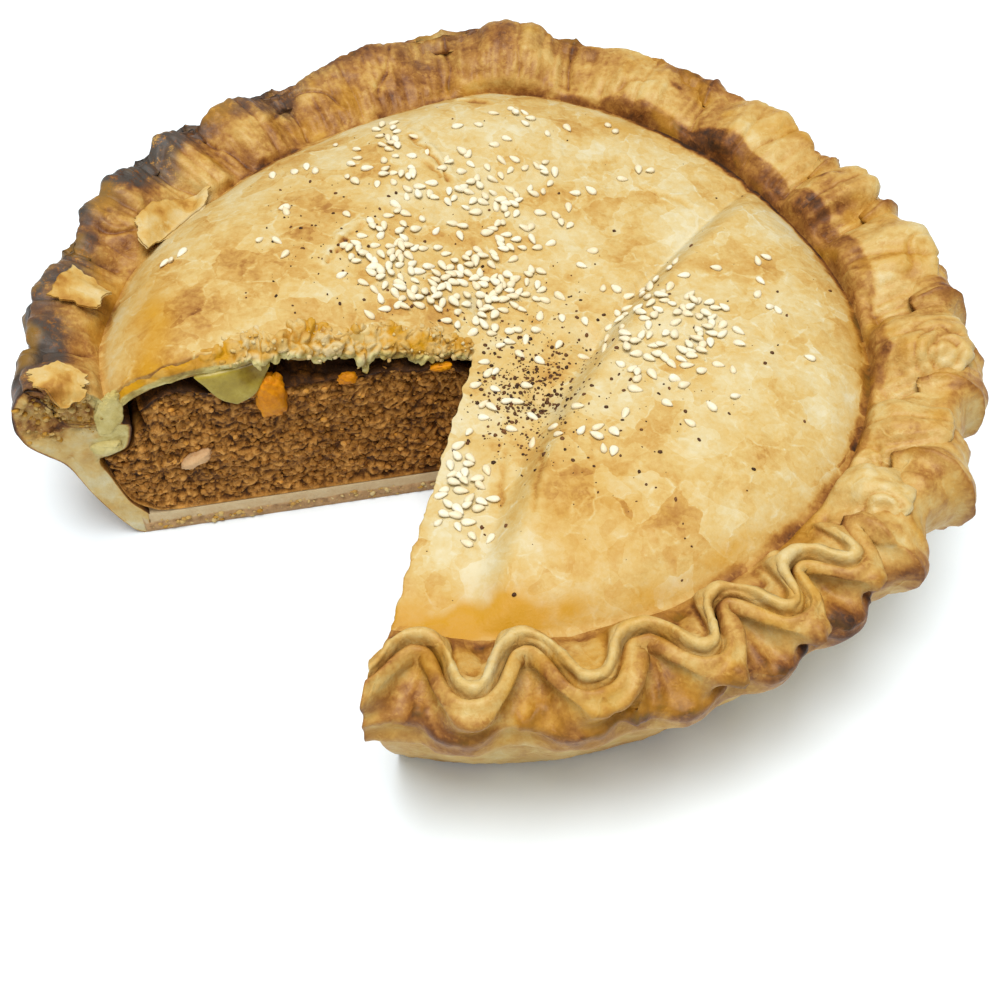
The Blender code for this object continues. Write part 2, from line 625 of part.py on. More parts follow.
def add_flake(mesh, start, end, profile):
    """A bent flake with a wavy edge: its profile carried round the pie from start to end."""
    angles = np.radians(np.linspace(start, end, FLAKE_COLUMNS))
    front, back = [], []
    for step, (radius, height) in enumerate(profile):
        radii = radius * MM + FLAKE_RAGGED * np.sin(5 * angles + step)
        plan = np.stack((radii * np.cos(angles), radii * np.sin(angles)), -1)
        front.append(lift(plan, height * MM))
        back.append(lift(plan, height * MM - FLAKE_THICKNESS))
    slab(mesh, front, back)


def flakes(measures):
    """Lifted flakes of pastry on the rim."""
    mesh = bmesh.new()
    for start, end, profile in measures:
        add_flake(mesh, start, end, profile)
    return finish_mesh("flakes", mesh, (0.5, 0.3, 0.13), 0.6)


def fuse(piece, parts):
    """Joins the parts to the piece with one Boolean union, applied, and removes them."""
    group = bpy.data.collections.new(piece.name + "_parts")
    for part in parts:
        group.objects.link(part)
    union = piece.modifiers.new("fuse", "BOOLEAN")
    union.operation = "UNION"
    union.operand_type = "COLLECTION"
    union.collection = group
    apply_modifiers(piece)
    for part in parts:
        bpy.data.objects.remove(part)
    bpy.data.collections.remove(group)


def apply_modifiers(piece):
    """Replaces a piece's mesh by its evaluated one."""
    evaluated = piece.evaluated_get(bpy.context.evaluated_depsgraph_get())
    data = bpy.data.meshes.new_from_object(evaluated)
    piece.modifiers.clear()
    piece.data = data


# ---------------------------------------------------------------- cheese


def add_lump(mesh, along, height, half_along, half_out, half_up, grow):
    """A rounded block of cheddar at the left cut, grown on all sides by `grow`."""
    made = bmesh.ops.create_icosphere(mesh, subdivisions=2, radius=1.0)
    for number, vertex in enumerate(made["verts"]):
        boxy = Vector([math.copysign(abs(value) ** CHEDDAR_SQUARENESS, value) for value in vertex.co])
        uneven = 1 + CHEDDAR_UNEVEN * math.sin(2.4 * number)
        along_by = (half_along * MM * uneven + grow) * boxy.x
        out_by = (half_out * MM * uneven + grow) * boxy.y
        up_by = (half_up * MM * uneven + grow) * boxy.z
        vertex.co = cut_point(along * MM + along_by, CHEDDAR_OUT + out_by, height * MM + up_by)


def cheddar(filling_piece):
    """Pieces of cheddar set into the left cut, each in its own pocket in the filling."""
    pockets = bmesh.new()
    for number, lump in enumerate(CHEDDAR, start=1):
        mesh = bmesh.new()
        add_lump(mesh, *lump, 0.0)
        add_lump(pockets, *lump, REST_GAP)
        finish_mesh(f"cheddar_piece_{number}", mesh, (0.85, 0.42, 0.04), 0.4)
    cutter = finish_mesh("pockets", pockets, (0.5, 0.5, 0.5), 0.5)
    cut = filling_piece.modifiers.new("pockets", "BOOLEAN")
    cut.operation = "DIFFERENCE"
    cut.object = cutter
    apply_modifiers(filling_piece)
    bpy.data.objects.remove(cutter)


def melted_cheese():
    """A thin curtain of melted cheese that hangs down over the filling, ending in a point."""
    mesh = bmesh.new()
    front, back = [], []
    shares = np.linspace(0, 1, len(DRAPE_PROFILE))
    for share, (height, out) in zip(shares, np.array(DRAPE_PROFILE) * MM):
        ends = DRAPE_TOP_ENDS + (DRAPE_BOTTOM_ENDS - DRAPE_TOP_ENDS) * share
        places = np.linspace(*ends, DRAPE_COLUMNS)
        front.append([cut_point(along, out, height) for along in places])
        back.append([cut_point(along, out - DRAPE_THICKNESS, height) for along in places])
    slab(mesh, front, back)
    return finish_mesh("melted_cheese", mesh, (0.62, 0.60, 0.22), 0.35)


def main():
    for old in list(bpy.data.objects):
        bpy.data.objects.remove(old)
    fuse(bottom_crust(), [flakes(WALL_FLAKES)])
    cheddar(filling())
    melted_cheese()
    lid = top_crust()
    fuse(lid, [seeds(lid), flakes(LID_FLAKES)])


main()
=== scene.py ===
"""Looks of a double-crust meat pie with one slice taken out.

Shapes are worked out in millimetres from the pie's axis, with +Z up and the base on z = 0, and
are moved to the frame in metres when their mesh is made. Angles are in degrees, anticlockwise
from +X seen from above. A row is a ring round the axis and a column is an upright plane through
the tip of the missing slice, as in the CAD source, whose named sizes are repeated here. Calls of
rough() give the size of the noise in millimetres, its octaves and its seed.
"""

import itertools
import math

import bpy
import numpy as np
from mathutils import Matrix, Vector


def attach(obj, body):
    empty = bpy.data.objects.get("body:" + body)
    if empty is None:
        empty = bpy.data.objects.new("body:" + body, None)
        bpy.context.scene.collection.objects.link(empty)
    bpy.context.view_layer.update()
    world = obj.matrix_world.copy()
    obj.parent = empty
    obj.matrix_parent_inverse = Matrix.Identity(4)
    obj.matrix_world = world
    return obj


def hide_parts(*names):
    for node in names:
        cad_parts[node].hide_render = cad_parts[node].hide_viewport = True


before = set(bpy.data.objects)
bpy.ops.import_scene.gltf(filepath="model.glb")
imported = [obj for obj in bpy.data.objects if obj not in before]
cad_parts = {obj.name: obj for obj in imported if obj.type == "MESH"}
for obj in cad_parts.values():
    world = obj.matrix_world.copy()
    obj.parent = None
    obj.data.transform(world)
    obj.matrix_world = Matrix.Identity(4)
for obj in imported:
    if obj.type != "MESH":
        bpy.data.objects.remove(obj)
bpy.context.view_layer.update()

bl_info = {
    "name": "Meat Pie",
    "version": (1, 0, 0),
    "blender": (4, 5, 0),
    "location": "3D View > Sidebar > Meat Pie",
    "description": "Pastry, minced filling, cheese and seeds of a pie with a slice taken out",
    "category": "Add Mesh",
}

# ---------------------------------------------------------------- sizes of the CAD source

AXIS = np.array((-1.95, -0.65))
TIP = np.array((-3.9, -12.4))
RIGHT_CUT, LEFT_CUT = 257.2, 550.4
BEHIND_LEFT_CUT, OUT_OF_LEFT_CUT = LEFT_CUT - 90, LEFT_CUT + 90
INNER_RADIUS = 20
SEAM_START = 92.6
REST_GAP = 0.3
FLOOR_TOP = 7.2
GROOVE_HEIGHT = 47
LID_THICKNESS = 4.6
LID_GAP = 0.8
MEAT_TOP, MEAT_HUMP, MEAT_HUMP_PLACE, MEAT_HUMP_WIDTH = 47.2, 3.5, 71, 7
MEAT_TIP_DROP, MEAT_TIP_REACH, MEAT_WALL_DROP, MEAT_WALL_START = 5, 10, 3, 76
MEAT_UNEVEN, MEAT_LUMP, MEAT_BLEND = 0.9, 9, 26
FOLD = (32.4, 0.632, 2.41e-3)
FOLD_WIDTH = 9
VALLEY_RISE, RIGHT_RISE, LEFT_RISE = 3, 10, 14
LEFT_START, LEFT_WIDTH = 14, 58
BACK_LOSS, BACK_WIDTH = 0.22, 60
DOME_POWER = 7
LID_UNEVEN, LID_HILL = 0.7, 42
LEFT_EDGE_RISE = 3
GROOVE_NOMINAL = 92
VENTS = ((23.7, -9.9, 4.5, 2.6), (11.2, -27.9, 3.4, 2.0), (-2.8, 2.4, 2.4, 1.8))
TEAR_DEPTH, TEAR_RAGGED, TEAR_REACH = 5.0, 2.2, 26
TEAR_START, TEAR_END, TEAR_CLEAN, TEAR_UNDER = 16, 62, 0.28, 0.25
PINCHES = (
    261.3, 273.8, 287.7, 299.2, 310.0, 319.1, 331.3, 345.2, 360.3, 379.2,
    391.0, 414.0, 437.0, 457.0, 484.5, 499.0, 509.0, 529.0, 549.0,
)
BEFORE_FIRST, AFTER_LAST = 248.0, 563.0
RIM_ANGLES = (257, 300, 330, 352, 379, 391, 412, 432, 450, 464, 484, 505, 528, 545, 557)
RIM_GROOVE = (92, 92.5, 93.5, 92.5, 88.5, 87.3, 89.3, 92, 95, 90, 86.5, 88.5, 94, 95.5, 94.5)
RIM_RIDGE = (105, 105.5, 107, 109, 107, 104, 106, 108, 111, 108, 103, 106.5, 106, 106.5, 106)
RIM_RIDGE_WAVE = (6.0, 6.0, 3.5, 3.0, 2.0, 2.5, 1.5, 2.0, 1.5, 1.5, 2.0, 1.0, 1.5, 2.0, 1.0)
RIM_TOP = (54.5, 54.5, 54.5, 54.5, 54, 53.5, 54, 54.5, 56.5, 55, 53, 54.5, 54, 57, 57.5)
RIM_SLOPE = (5.5, 6.0, 7.0, 11, 12, 11, 13, 13, 13, 14, 13, 14, 10, 8, 7)
RIM_OUT = (115, 116, 118, 119, 115, 112, 114, 115, 117, 115, 110, 113, 113, 115, 117)
RIM_OUT_WAVE = (1.6, 2.2, 1.8, 2.4, 1.8, 2.0, 1.5, 2.0, 1.2, 1.2, 2.0, 1.0, 2.0, 2.0, 0.6)
RIM_SHELF = (48.5, 49, 50, 50, 50, 49, 50, 51, 52, 51, 49, 50, 50, 52, 53)
RIM_LEAN = (0.3, 4.4, 4.0, 2.0, 0, 0, 0, 0, 0, 0, 0, 0, 0, 0, 0)
FLUTE_SEED, FLUTE_UNEVEN, FLUTE_SHARPNESS = 4, 0.22, 1.2
RIDGE_WAVE_HEIGHT = 0.7
SHOULDER_INSIDE, SHOULDER_BELOW = 3.2, 0.9
FOOT_LEAST, FOOT_RISE = 0.4, 0.33
SEAM_LOW, SEAM_BEND = 42.2, 45.4
EDGE_HEIGHT, EDGE_ROUND = 44.5, 1.6
WALL_FOOT = 94.0
WALL_OUT = ((95.6, 0), (98, 2), (101.6, 10), (104.2, 20), (106.9, 31), (112.6, 38))
WALL_IN = (
    (93.0, FLOOR_TOP), (94.0, 8.8), (97.0, 14), (99.6, 24.5),
    (100.6, 31), (93.8, 33.6), (91.2, 40.2), (91.4, 41.2),
)
MEAT_SHOULDER = ((87.6, 40.6), (90.4, 38.6), (92.9, 33.2), (99.6, 30.4))
MEAT_HEEL = ((86.5, 7.6), (91.0, 8.6), (96.3, 13.8), (99.0, 24.6))
WALL_WAVE = 0.55
RIM_AIM = 105

# ---------------------------------------------------------------- sizes of the looks

MM = 0.001
SKIP = 8  # a hidden face has every SKIPth column of the face above it
LID_ROWS, LID_COLUMNS, LID_LAYERS, LID_EDGE_ROWS = 118, 90 * SKIP + 1, 10, 6
CRIMP_ROWS, CRIMP_COLUMNS, CRIMP_LAYERS = 56, 150 * SKIP + 1, 20
WALL_ROWS, WALL_COLUMNS, WALL_LAYERS = 86, 114 * SKIP + 1, 22
BASE_ROWS, BASE_COLUMNS, BASE_LAYERS, BASE_RADIUS = 200, 8 * SKIP + 1, 16, 95.2
MEAT_ROWS, MEAT_COLUMNS, MEAT_LAYERS, MEAT_RADIUS, MEAT_SIDE_ROWS = 200, 24 * SKIP + 1, 96, 86, 40
TORN_ROWS, TORN_ACROSS = 300, 34
DRAPE_ROWS, DRAPE_ACROSS = 60, 70
FLAKE_ROWS, FLAKE_ACROSS, FLAKE_THICKNESS = 36, 64, 0.6
CRUMB_KINDS = 4
ARC_RADIUS = 108  # lengths round the rim are measured at this radius

# Cracks in the lid's skin: start, end, width, depth, and how far the lip beside it is raised
CRACKS = (
    ((-21.9, 63.4), (-16.5, 55.0), 0.5, 0.6, 0.35),
    ((-16.5, 55.0), (-10.7, 43.9), 0.5, 0.7, 0.4),
    ((-17.4, 49.3), (-13.1, 44.4), 0.6, 0.5, 0.35),
    ((-39.8, 9.9), (-36.5, 17.5), 0.6, 0.8, 0.5),
    ((-36.5, 17.5), (-33.1, 23.2), 0.5, 0.6, 0.4),
    ((-8.6, 84.0), (-1.5, 80.0), 0.7, 0.5, 0.4),
    ((24.0, 56.0), (36.0, 60.0), 0.5, 0.3, 0.25),
    ((43.0, 49.0), (54.0, 41.0), 0.5, 0.35, 0.3),
    ((3.0, -44.0), (1.5, -60.0), 0.5, 0.3, 0.2),
    ((12.0, -47.0), (9.0, -66.0), 0.5, 0.35, 0.2),
)
# Drips of dough below the lid's torn edge: distance from the tip, half width, length
DRIPS = (
    (45.9, 1.5, 2.2), (34.8, 1.3, 4.6), (38.0, 2.6, 1.2), (18.0, 3.0, 1.0), (56.0, 5.0, 0.6),
)
# Creases across the rim: angle, lean in mm round the pie for each mm outwards, depth, and how far
# the dough rises again after it; the dough before each one hangs over it
CREASES = (
    (273.0, 0.0, 0.8, 4), (284.4, 0.0, 3.2, 7), (294.8, -0.1, 3.4, 8), (305.4, -0.1, 3.0, 7),
    (314.0, 0.1, 1.6, 5), (319.1, 0.35, 2.6, 6), (331.3, 0.45, 3.4, 7), (338.0, 0.2, 1.0, 4),
    (345.2, 0.4, 2.6, 6), (353.0, 0.1, 1.0, 4), (360.3, 0.35, 3.0, 7), (369.0, -0.2, 1.3, 4),
    (379.2, 0.2, 3.0, 7), (385.0, 0.1, 1.2, 3), (391.0, 0.1, 3.2, 6), (399.0, -0.2, 1.5, 4),
    (404.0, 0.3, 1.2, 4), (414.0, 0.2, 2.8, 6), (424.0, -0.1, 1.4, 4), (437.0, 0.1, 2.6, 6),
    (445.5, 0.1, 1.5, 4), (457.0, 0.1, 2.4, 6), (466.0, 0.0, 1.0, 4), (474.0, 0.1, 1.3, 4),
    (484.5, 0.1, 3.2, 7), (491.5, 0.0, 1.4, 4), (499.0, 0.2, 2.6, 6), (509.0, 0.1, 2.8, 6),
    (518.0, 0.1, 1.4, 5), (529.0, 0.1, 3.0, 6), (539.5, 0.2, 2.0, 5), (549.0, 0.1, 2.8, 5),
)
# Places where the roll is coiled: angle, radius, size, and distance between its turns
COILS = ((322.5, 107, 7, 3.8), (350.0, 109, 10, 3.4))
# Thin flakes lifted off the rim: plan corners of the outer edge and of the inner edge, how far
# the outer and the inner edge stand off the rim and how far the flake falls between them, seed,
# how browned, node
FLAKES = (
    (((-92.6, 33.4), (-89.0, 40.5), (-83.5, 44.2), (-79.4, 47.6), (-75.4, 50.0)),
     ((-91.0, 27.0), (-88.2, 24.2), (-85.2, 30.0), (-80.8, 35.6), (-76.4, 41.6)),
     (0.2, 0.8, 2.6), 111, 0.25, "top_crust"),
    (((-108.0, -1.6), (-106.0, 4.0), (-103.6, 10.4)),
     ((-95.4, -2.5), (-94.6, 1.4), (-93.4, 4.4)),
     (1.7, 0.3, 2.0), 124, 0.40, "bottom_crust"),
    (((-107.0, -26.6), (-101.0, -23.2), (-94.0, -25.6)),
     ((-105.6, -31.0), (-99.4, -34.0), (-94.4, -31.6)),
     (0.0, 0.0, 6.0), 133, 0.42, "bottom_crust"),
)
# Lumps in the left cut: distance along it, height, and half sizes along, out and up
CHEDDAR = ((50.2, 44.6, 3.6, 2.6, 6.6), (31.5, 46.8, 2.3, 1.2, 1.5), (8.6, 46.3, 2.6, 1.1, 0.9))
DOUGH_WEDGE, DOUGH_COLUMN = (91.4, 35.4, 3.7, 2.3, 1.8), (88.6, 46.0, 3.7, 1.1, 5.6)
PALE_CHUNK = (71.2, 25.7, 3.9, 2.0, 1.6)
LUMP_OUT = -0.5
# The melted cheese from the top down: height, left and right ends along the cut, how far out
DRAPE = np.array((
    (60.8, 73.5, 45.8, -2.4), (58.6, 71.5, 47.2, -0.9), (56.4, 69.0, 48.6, 0.0),
    (54.0, 66.8, 49.8, 0.7), (51.6, 65.0, 51.2, 1.1), (49.6, 63.8, 52.4, 1.4),
    (47.8, 62.6, 53.6, 1.6), (46.6, 61.2, 55.2, 1.7), (45.9, 59.6, 57.2, 1.7),
))
DRAPE_HOLLOW = 53.5
SEED_LENGTH, SEED_WIDTH, SEED_THICKNESS = 3.4, 1.95, 1.2
SEED_APART, SEED_CROWD = 1.6, 3.2
# Patches of seeds: x, y, spread in x, spread in y, and how many
SEED_PATCHES = (
    (-6, 6, 11, 9, 130),
    (-25, 11, 5, 8, 40),
    (-31, 58, 4.5, 6, 20),
    (-44, 44, 7, 6, 6),
    (0, 40, 15, 10, 92),
    (8, 70, 12, 5, 12),
    (43, -15, 8, 7.5, 74),
    (39, 2, 8, 6, 20),
    (66, 8, 3, 12, 6),
    (78, -19, 3, 3, 1),
    (-7, -55, 3.4, 8, 32),
    (20, -44, 5, 4, 10),
    (0, -26, 6, 8, 14),
    (-79, 13.5, 2.2, 1.6, 3),
    (-52, 20, 4, 9, 4),
    (-53, 31, 1, 1, 1),
    (30, -30, 10, 10, 5),
)
# Patches of pepper, in the same way
PEPPER_PATCHES = (
    (8, -26, 8, 10, 640),
    (4, -8, 13, 12, 240),
    (-38, 14, 12, 14, 110),
    (24, -45, 18, 18, 120),
    (0, 40, 30, 30, 60),
    (60, -10, 15, 20, 24),
)

# ---------------------------------------------------------------- noise


def smooth(value):
    """An S curve from 0 at 0 to 1 at 1, level outside."""
    value = np.clip(value, 0.0, 1.0)
    return value * value * (3 - 2 * value)


def bell(value):
    """A bell curve: 1 at 0, falling to both sides."""
    return np.exp(-np.square(value))


def unit(vectors):
    """Vectors divided by their lengths."""
    return vectors / np.maximum(np.linalg.norm(vectors, axis=-1, keepdims=True), 1e-9)


def waves(x, y, size, phase=0.0):
    """Soft, uneven hills between -1 and 1, about `size` apart: four crossed sine waves."""
    x = x / size
    y = y / size
    return 0.25 * (
        np.sin(3.1 * x + 1.7 * y + phase)
        + np.sin(-2.3 * x + 2.9 * y + 1.9 + 2 * phase)
        + np.sin(4.3 * x + 0.9 * np.sin(2.1 * y) + 4.1 + phase)
        + np.sin(0.8 * x - 4.7 * y + 2.6 * np.sin(1.3 * x) + 0.7)
    )


def dice(cell, seed):
    """A random number from 0 to 1 for each whole-number place: a mix of its bits."""
    mixed = np.full(cell.shape[:-1], seed * 2654435761 % 2**32, np.uint64)
    for axis, prime in zip(range(cell.shape[-1]), (374761393, 668265263, 1442695041)):
        mixed = mixed ^ ((cell[..., axis] & 0xFFFFFF).astype(np.uint64) * np.uint64(prime))
        mixed = (mixed ^ (mixed >> np.uint64(13))) * np.uint64(1274126177)
        mixed = mixed & np.uint64(0xFFFFFFFF)
    mixed = mixed ^ (mixed >> np.uint64(16))
    return (mixed & np.uint64(0xFFFF)).astype(float) / 0xFFFF


def lattice(points, size):
    """Places on a lattice of `size`, and the whole-number corner below each."""
    place = np.asarray(points) / size + 40.5
    return place, np.floor(place).astype(np.int64)


def lumps(points, size, seed=0):
    """Smooth noise from -1 to 1: random heights at the corners of a lattice of `size`, blended."""
    place, cell = lattice(points, size)
    part = smooth(place - cell)
    total = 0.0
    for corner in itertools.product((0, 1), repeat=place.shape[-1]):
        share = np.prod(np.where(np.array(corner), part, 1 - part), axis=-1)
        total = total + share * dice(cell + np.array(corner), seed)
    return 2 * total - 1


def rough(points, size, octaves, seed=0, fade=0.5):
    """Noise of several sizes added up, each half as large and `fade` as strong as the last."""
    total = sum(
        fade**step * lumps(points, size / 2**step, seed + step) for step in range(octaves)
    )
    return total / sum(fade**step for step in range(octaves))


def warp(points, size, octaves, seed):
    """Noise for each axis, to bend a pattern."""
    axes = range(points.shape[-1])
    return np.stack([rough(points, size, octaves, seed + axis) for axis in axes], -1)


def grains(points, size, seed=0):
    """Cells round scattered centres: distance to the nearest and to the next, and its number."""
    place, home = lattice(points, size)
    nearest = np.full(place.shape[:-1], 9.0)
    second = nearest.copy()
    number = np.zeros(place.shape[:-1])
    axes = range(place.shape[-1])
    for step in itertools.product((-1, 0, 1), repeat=place.shape[-1]):
        cell = home + np.array(step)
        centre = cell + np.stack([dice(cell, seed + 11 + axis) for axis in axes], -1)
        away = np.linalg.norm(place - centre, axis=-1)
        closer = away < nearest
        second = np.where(closer, nearest, np.minimum(second, away))
        number = np.where(closer, dice(cell, seed + 29), number)
        nearest = np.where(closer, away, nearest)
    return nearest, second, number


def beads(points, size, seed=0):
    """Heights from 0 to 1 of round grains packed together, some higher than others."""
    nearest, _, number = grains(points, size, seed)
    return np.sqrt(np.clip(1 - np.square(nearest / 0.78), 0, 1)) * (0.55 + 0.45 * number)


def chunks(points, size, seed=0):
    """Heights from -1 to 1 of angular lumps packed together, with narrow clefts between them."""
    nearest, second, number = grains(points, size, seed)
    whole = smooth((second - nearest) / 0.30)
    return (1.4 * number - 0.4) * whole - 0.6 * (1 - whole)


# ---------------------------------------------------------------- plan


def toward(direction):
    """Plan vectors of length 1 in these directions."""
    heading = np.radians(direction)
    return np.stack((np.cos(heading), np.sin(heading)), -1)


def reach(direction, radius):
    """Distance from the tip, along a direction, to the circle of this radius."""
    along = toward(direction) @ TIP
    return np.sqrt(along**2 - TIP @ TIP + np.square(radius)) - along


def rim_angle(direction):
    """Angle round the pie's axis at which a line from the tip crosses the rim."""
    x, y = TIP + reach(direction, RIM_AIM) * toward(direction)
    angle = math.degrees(math.atan2(y, x))
    return angle + 360 * round((direction - angle) / 360)


def directions_of(angles):
    """Directions from the tip of the columns with these rim angles."""
    x, y = np.moveaxis(RIM_AIM * toward(angles) - TIP, -1, 0)
    direction = np.degrees(np.arctan2(y, x))
    return direction + 360 * np.round((angles - direction) / 360)


def columns(count):
    """Rim angles of `count` even columns from the right cut round to the left cut."""
    return np.linspace(rim_angle(RIGHT_CUT), rim_angle(LEFT_CUT), count)


def ring(angles, radius, set_back=0.0, ragged=0.0):
    """Plan points of rows of these radii at columns of these angles.

    A column runs from the tip; inside INNER_RADIUS the rows are scaled towards it. The last
    columns bend back from the left cut by `set_back`, less with the square of the distance,
    and by `ragged` in the last millimetres.
    """
    direction = directions_of(angles)
    radius = np.broadcast_to(radius, np.broadcast_shapes(np.shape(radius), angles.shape))
    distance = reach(direction, np.maximum(radius, INNER_RADIUS))
    distance = distance * np.minimum(radius / INNER_RADIUS, 1.0)
    plan = TIP + distance[..., None] * toward(direction)
    turn = np.radians(LEFT_CUT - direction)
    from_cut = np.where(turn < math.pi / 3, distance * np.sin(turn), TEAR_REACH)
    push = set_back * np.square(1 - np.minimum(from_cut / TEAR_REACH, 1.0))
    push = push + ragged * np.exp(-from_cut / 2.0) * (from_cut < TEAR_REACH)
    return plan + push[..., None] * toward(BEHIND_LEFT_CUT)


def lift(plan, height):
    """Plan points with a height."""
    height = np.broadcast_to(height, plan.shape[:-1])
    return np.concatenate((plan, height[..., None]), axis=-1)


def cut_frame(plan, direction=LEFT_CUT):
    """Distance along a cut from the tip, and anticlockwise out of it, of plan points."""
    offset = plan - TIP
    return offset @ toward(direction), offset @ toward(direction + 90)


def cut_point(along, out, height):
    """Points this far along the left cut from the tip, and this far out of the cut face."""
    x, y = (
        start + along * ahead + out * aside
        for start, ahead, aside in zip(TIP, toward(LEFT_CUT), toward(OUT_OF_LEFT_CUT))
    )
    return np.stack(np.broadcast_arrays(x, y, height), -1)


def cut_out(points, amount, side):
    """Points moved out of the right (side 0) or left cut face by an amount."""
    outward = toward(RIGHT_CUT - 90 if side == 0 else OUT_OF_LEFT_CUT)
    return points + amount[..., None] * np.append(outward, 0.0)


# ---------------------------------------------------------------- lid


def fold_distance(x, y):
    """Distance across the fold x = a + b y + c y squared: positive on the right-hand swell."""
    start, slope, curve = FOLD
    lean = slope + 2 * curve * y
    return (x - (start + slope * y + curve * y * y)) / np.sqrt(1 + lean * lean)


def lid_rise(x, y):
    """Height of the swells over the groove, before the dome falls to the rim."""
    across = fold_distance(x, y)
    right = smooth((across + 0.2 * FOLD_WIDTH) / FOLD_WIDTH) * (RIGHT_RISE - VALLEY_RISE)
    left = smooth((-across - LEFT_START) / LEFT_WIDTH) * (LEFT_RISE - VALLEY_RISE)
    back = 1 - BACK_LOSS * smooth(y / BACK_WIDTH)
    return VALLEY_RISE + right + left * back


def groove_radius(angle):
    """Radius of the lid's edge at these angles."""
    return np.interp(angle, RIM_ANGLES, RIM_GROOVE)


def pie_angle(x, y):
    """Angle round the pie's axis, from the right cut to a turn further on."""
    angle = np.degrees(np.arctan2(y, x))
    return np.where(angle < RIM_ANGLES[0] - 20 - 360, angle + 720, angle + 360)


def lid_height(x, y):
    """Upper face of the lid: two swells under a dome that is level in the middle."""
    radius = np.hypot(x, y) / groove_radius(pie_angle(x, y))
    dome = 1 - np.minimum(radius, 1.0) ** DOME_POWER
    left_edge = LEFT_EDGE_RISE * smooth((-x - 60) / 30) * smooth((20 - y) / 40)
    height = GROOVE_HEIGHT + left_edge + lid_rise(x, y) * dome
    height = height + LID_UNEVEN * dome * waves(x, y, LID_HILL)
    for vent_x, vent_y, vent_radius, vent_depth in VENTS:
        height = height - vent_depth * bell(np.hypot(x - vent_x, y - vent_y) / vent_radius)
    return height


def tear(radius):
    """How far the lid's upper edge stands back from the left cut at this radius."""
    ragged = np.sin(radius * 0.9) + np.sin(radius * 0.43 + 1.0)
    depth = TEAR_DEPTH + 0.5 * TEAR_RAGGED * ragged
    start = np.minimum(radius / TEAR_START, 1.0)
    end = 1 - (1 - TEAR_CLEAN) * smooth((radius - TEAR_END) / 12)
    return depth * start * end


def segment_distance(x, y, start, end):
    """Distance to a straight line between two points, and on which side of it, left being 1."""
    start, end = np.array(start), np.array(end)
    run = end - start
    share = np.clip(((x - start[0]) * run[0] + (y - start[1]) * run[1]) / (run @ run), 0, 1)
    away_x, away_y = x - start[0] - share * run[0], y - start[1] - share * run[1]
    side = np.sign(run[0] * (y - start[1]) - run[1] * (x - start[0]))
    return np.hypot(away_x, away_y), side


def crack_masks(x, y):
    """Depth of the cracks and height of their raised lips at these places, in millimetres."""
    spot = np.stack((x, y), -1)
    bent_x = x + 0.9 * lumps(spot, 2.6, 61)
    bent_y = y + 0.9 * lumps(spot, 2.2, 62)
    depth, lip = 0.0, 0.0
    for start, end, width, deep, raised in CRACKS:
        away, side = segment_distance(bent_x, bent_y, start, end)
        depth = depth + deep * bell(away / width)
        lip = lip + raised * bell((away - 1.6) / 1.1) * (side > 0)
    return depth, lip


def lid_detail(x, y):
    """Small relief of the lid: hills, thin flaky plates, cracks with lips and the fold's crease."""
    spot = np.stack((x, y), -1)
    crease = bell((fold_distance(x, y) + 1.2) / 1.6) * smooth((y + 30) / 40)
    plates = smooth((rough(spot, 11, 3, 21) - 0.12) / 0.07) * 0.16
    plates = plates + smooth((rough(spot, 7, 3, 27) - 0.2) / 0.08) * 0.14
    depth, lip = crack_masks(x, y)
    hills = 0.45 * rough(spot, 16, 2, 5) + 0.14 * rough(spot, 5, 2, 7) + 0.05 * lumps(spot, 1.6, 9)
    return hills + plates - 1.0 * crease - depth + lip


def lid_surface(x, y):
    """Upper face of the lid with its small relief."""
    return lid_height(x, y) + lid_detail(x, y)


def meat_height(plan):
    """Upper face of the filling: up to the lid, but lower near the left cut."""
    along, aside = cut_frame(plan)
    behind = -aside
    under_lid = lid_height(plan[..., 0], plan[..., 1]) - LID_THICKNESS - LID_GAP
    hump = MEAT_HUMP * bell((along - MEAT_HUMP_PLACE) / MEAT_HUMP_WIDTH)
    tip_drop = MEAT_TIP_DROP * smooth(1 - along / MEAT_TIP_REACH)
    wall_drop = MEAT_WALL_DROP * smooth((along - MEAT_WALL_START) / MEAT_TIP_REACH)
    near_cut = MEAT_TOP + hump - tip_drop - wall_drop
    near_cut = near_cut + MEAT_UNEVEN * waves(along, behind, MEAT_LUMP)
    share = np.where(along > 0, smooth(behind / MEAT_BLEND), 1.0)
    return share * under_lid + (1 - share) * np.minimum(under_lid, near_cut)


# ---------------------------------------------------------------- rim


def flute_phase(angle):
    """How many pinches lie before this angle, with its fraction."""
    stops = (BEFORE_FIRST,) + PINCHES + (AFTER_LAST,)
    return np.interp(angle, stops, np.arange(len(stops)) - 1.0)


def flute(angle):
    """Flute wave at these angles: -1 at a pinch, 1 between two, of uneven depth."""
    phase = flute_phase(angle)
    depth = np.random.default_rng(FLUTE_SEED).uniform(-1, 1, len(PINCHES) + 2)
    depth = 1 + FLUTE_UNEVEN * np.interp(phase + 1, np.arange(len(depth)), depth)
    wave = np.tanh(FLUTE_SHARPNESS * np.cos(2 * math.pi * phase))
    return -wave / math.tanh(FLUTE_SHARPNESS) * depth


def rim_value(values, angle):
    """One of the rim's measures at these angles."""
    return np.interp(angle, RIM_ANGLES, values)


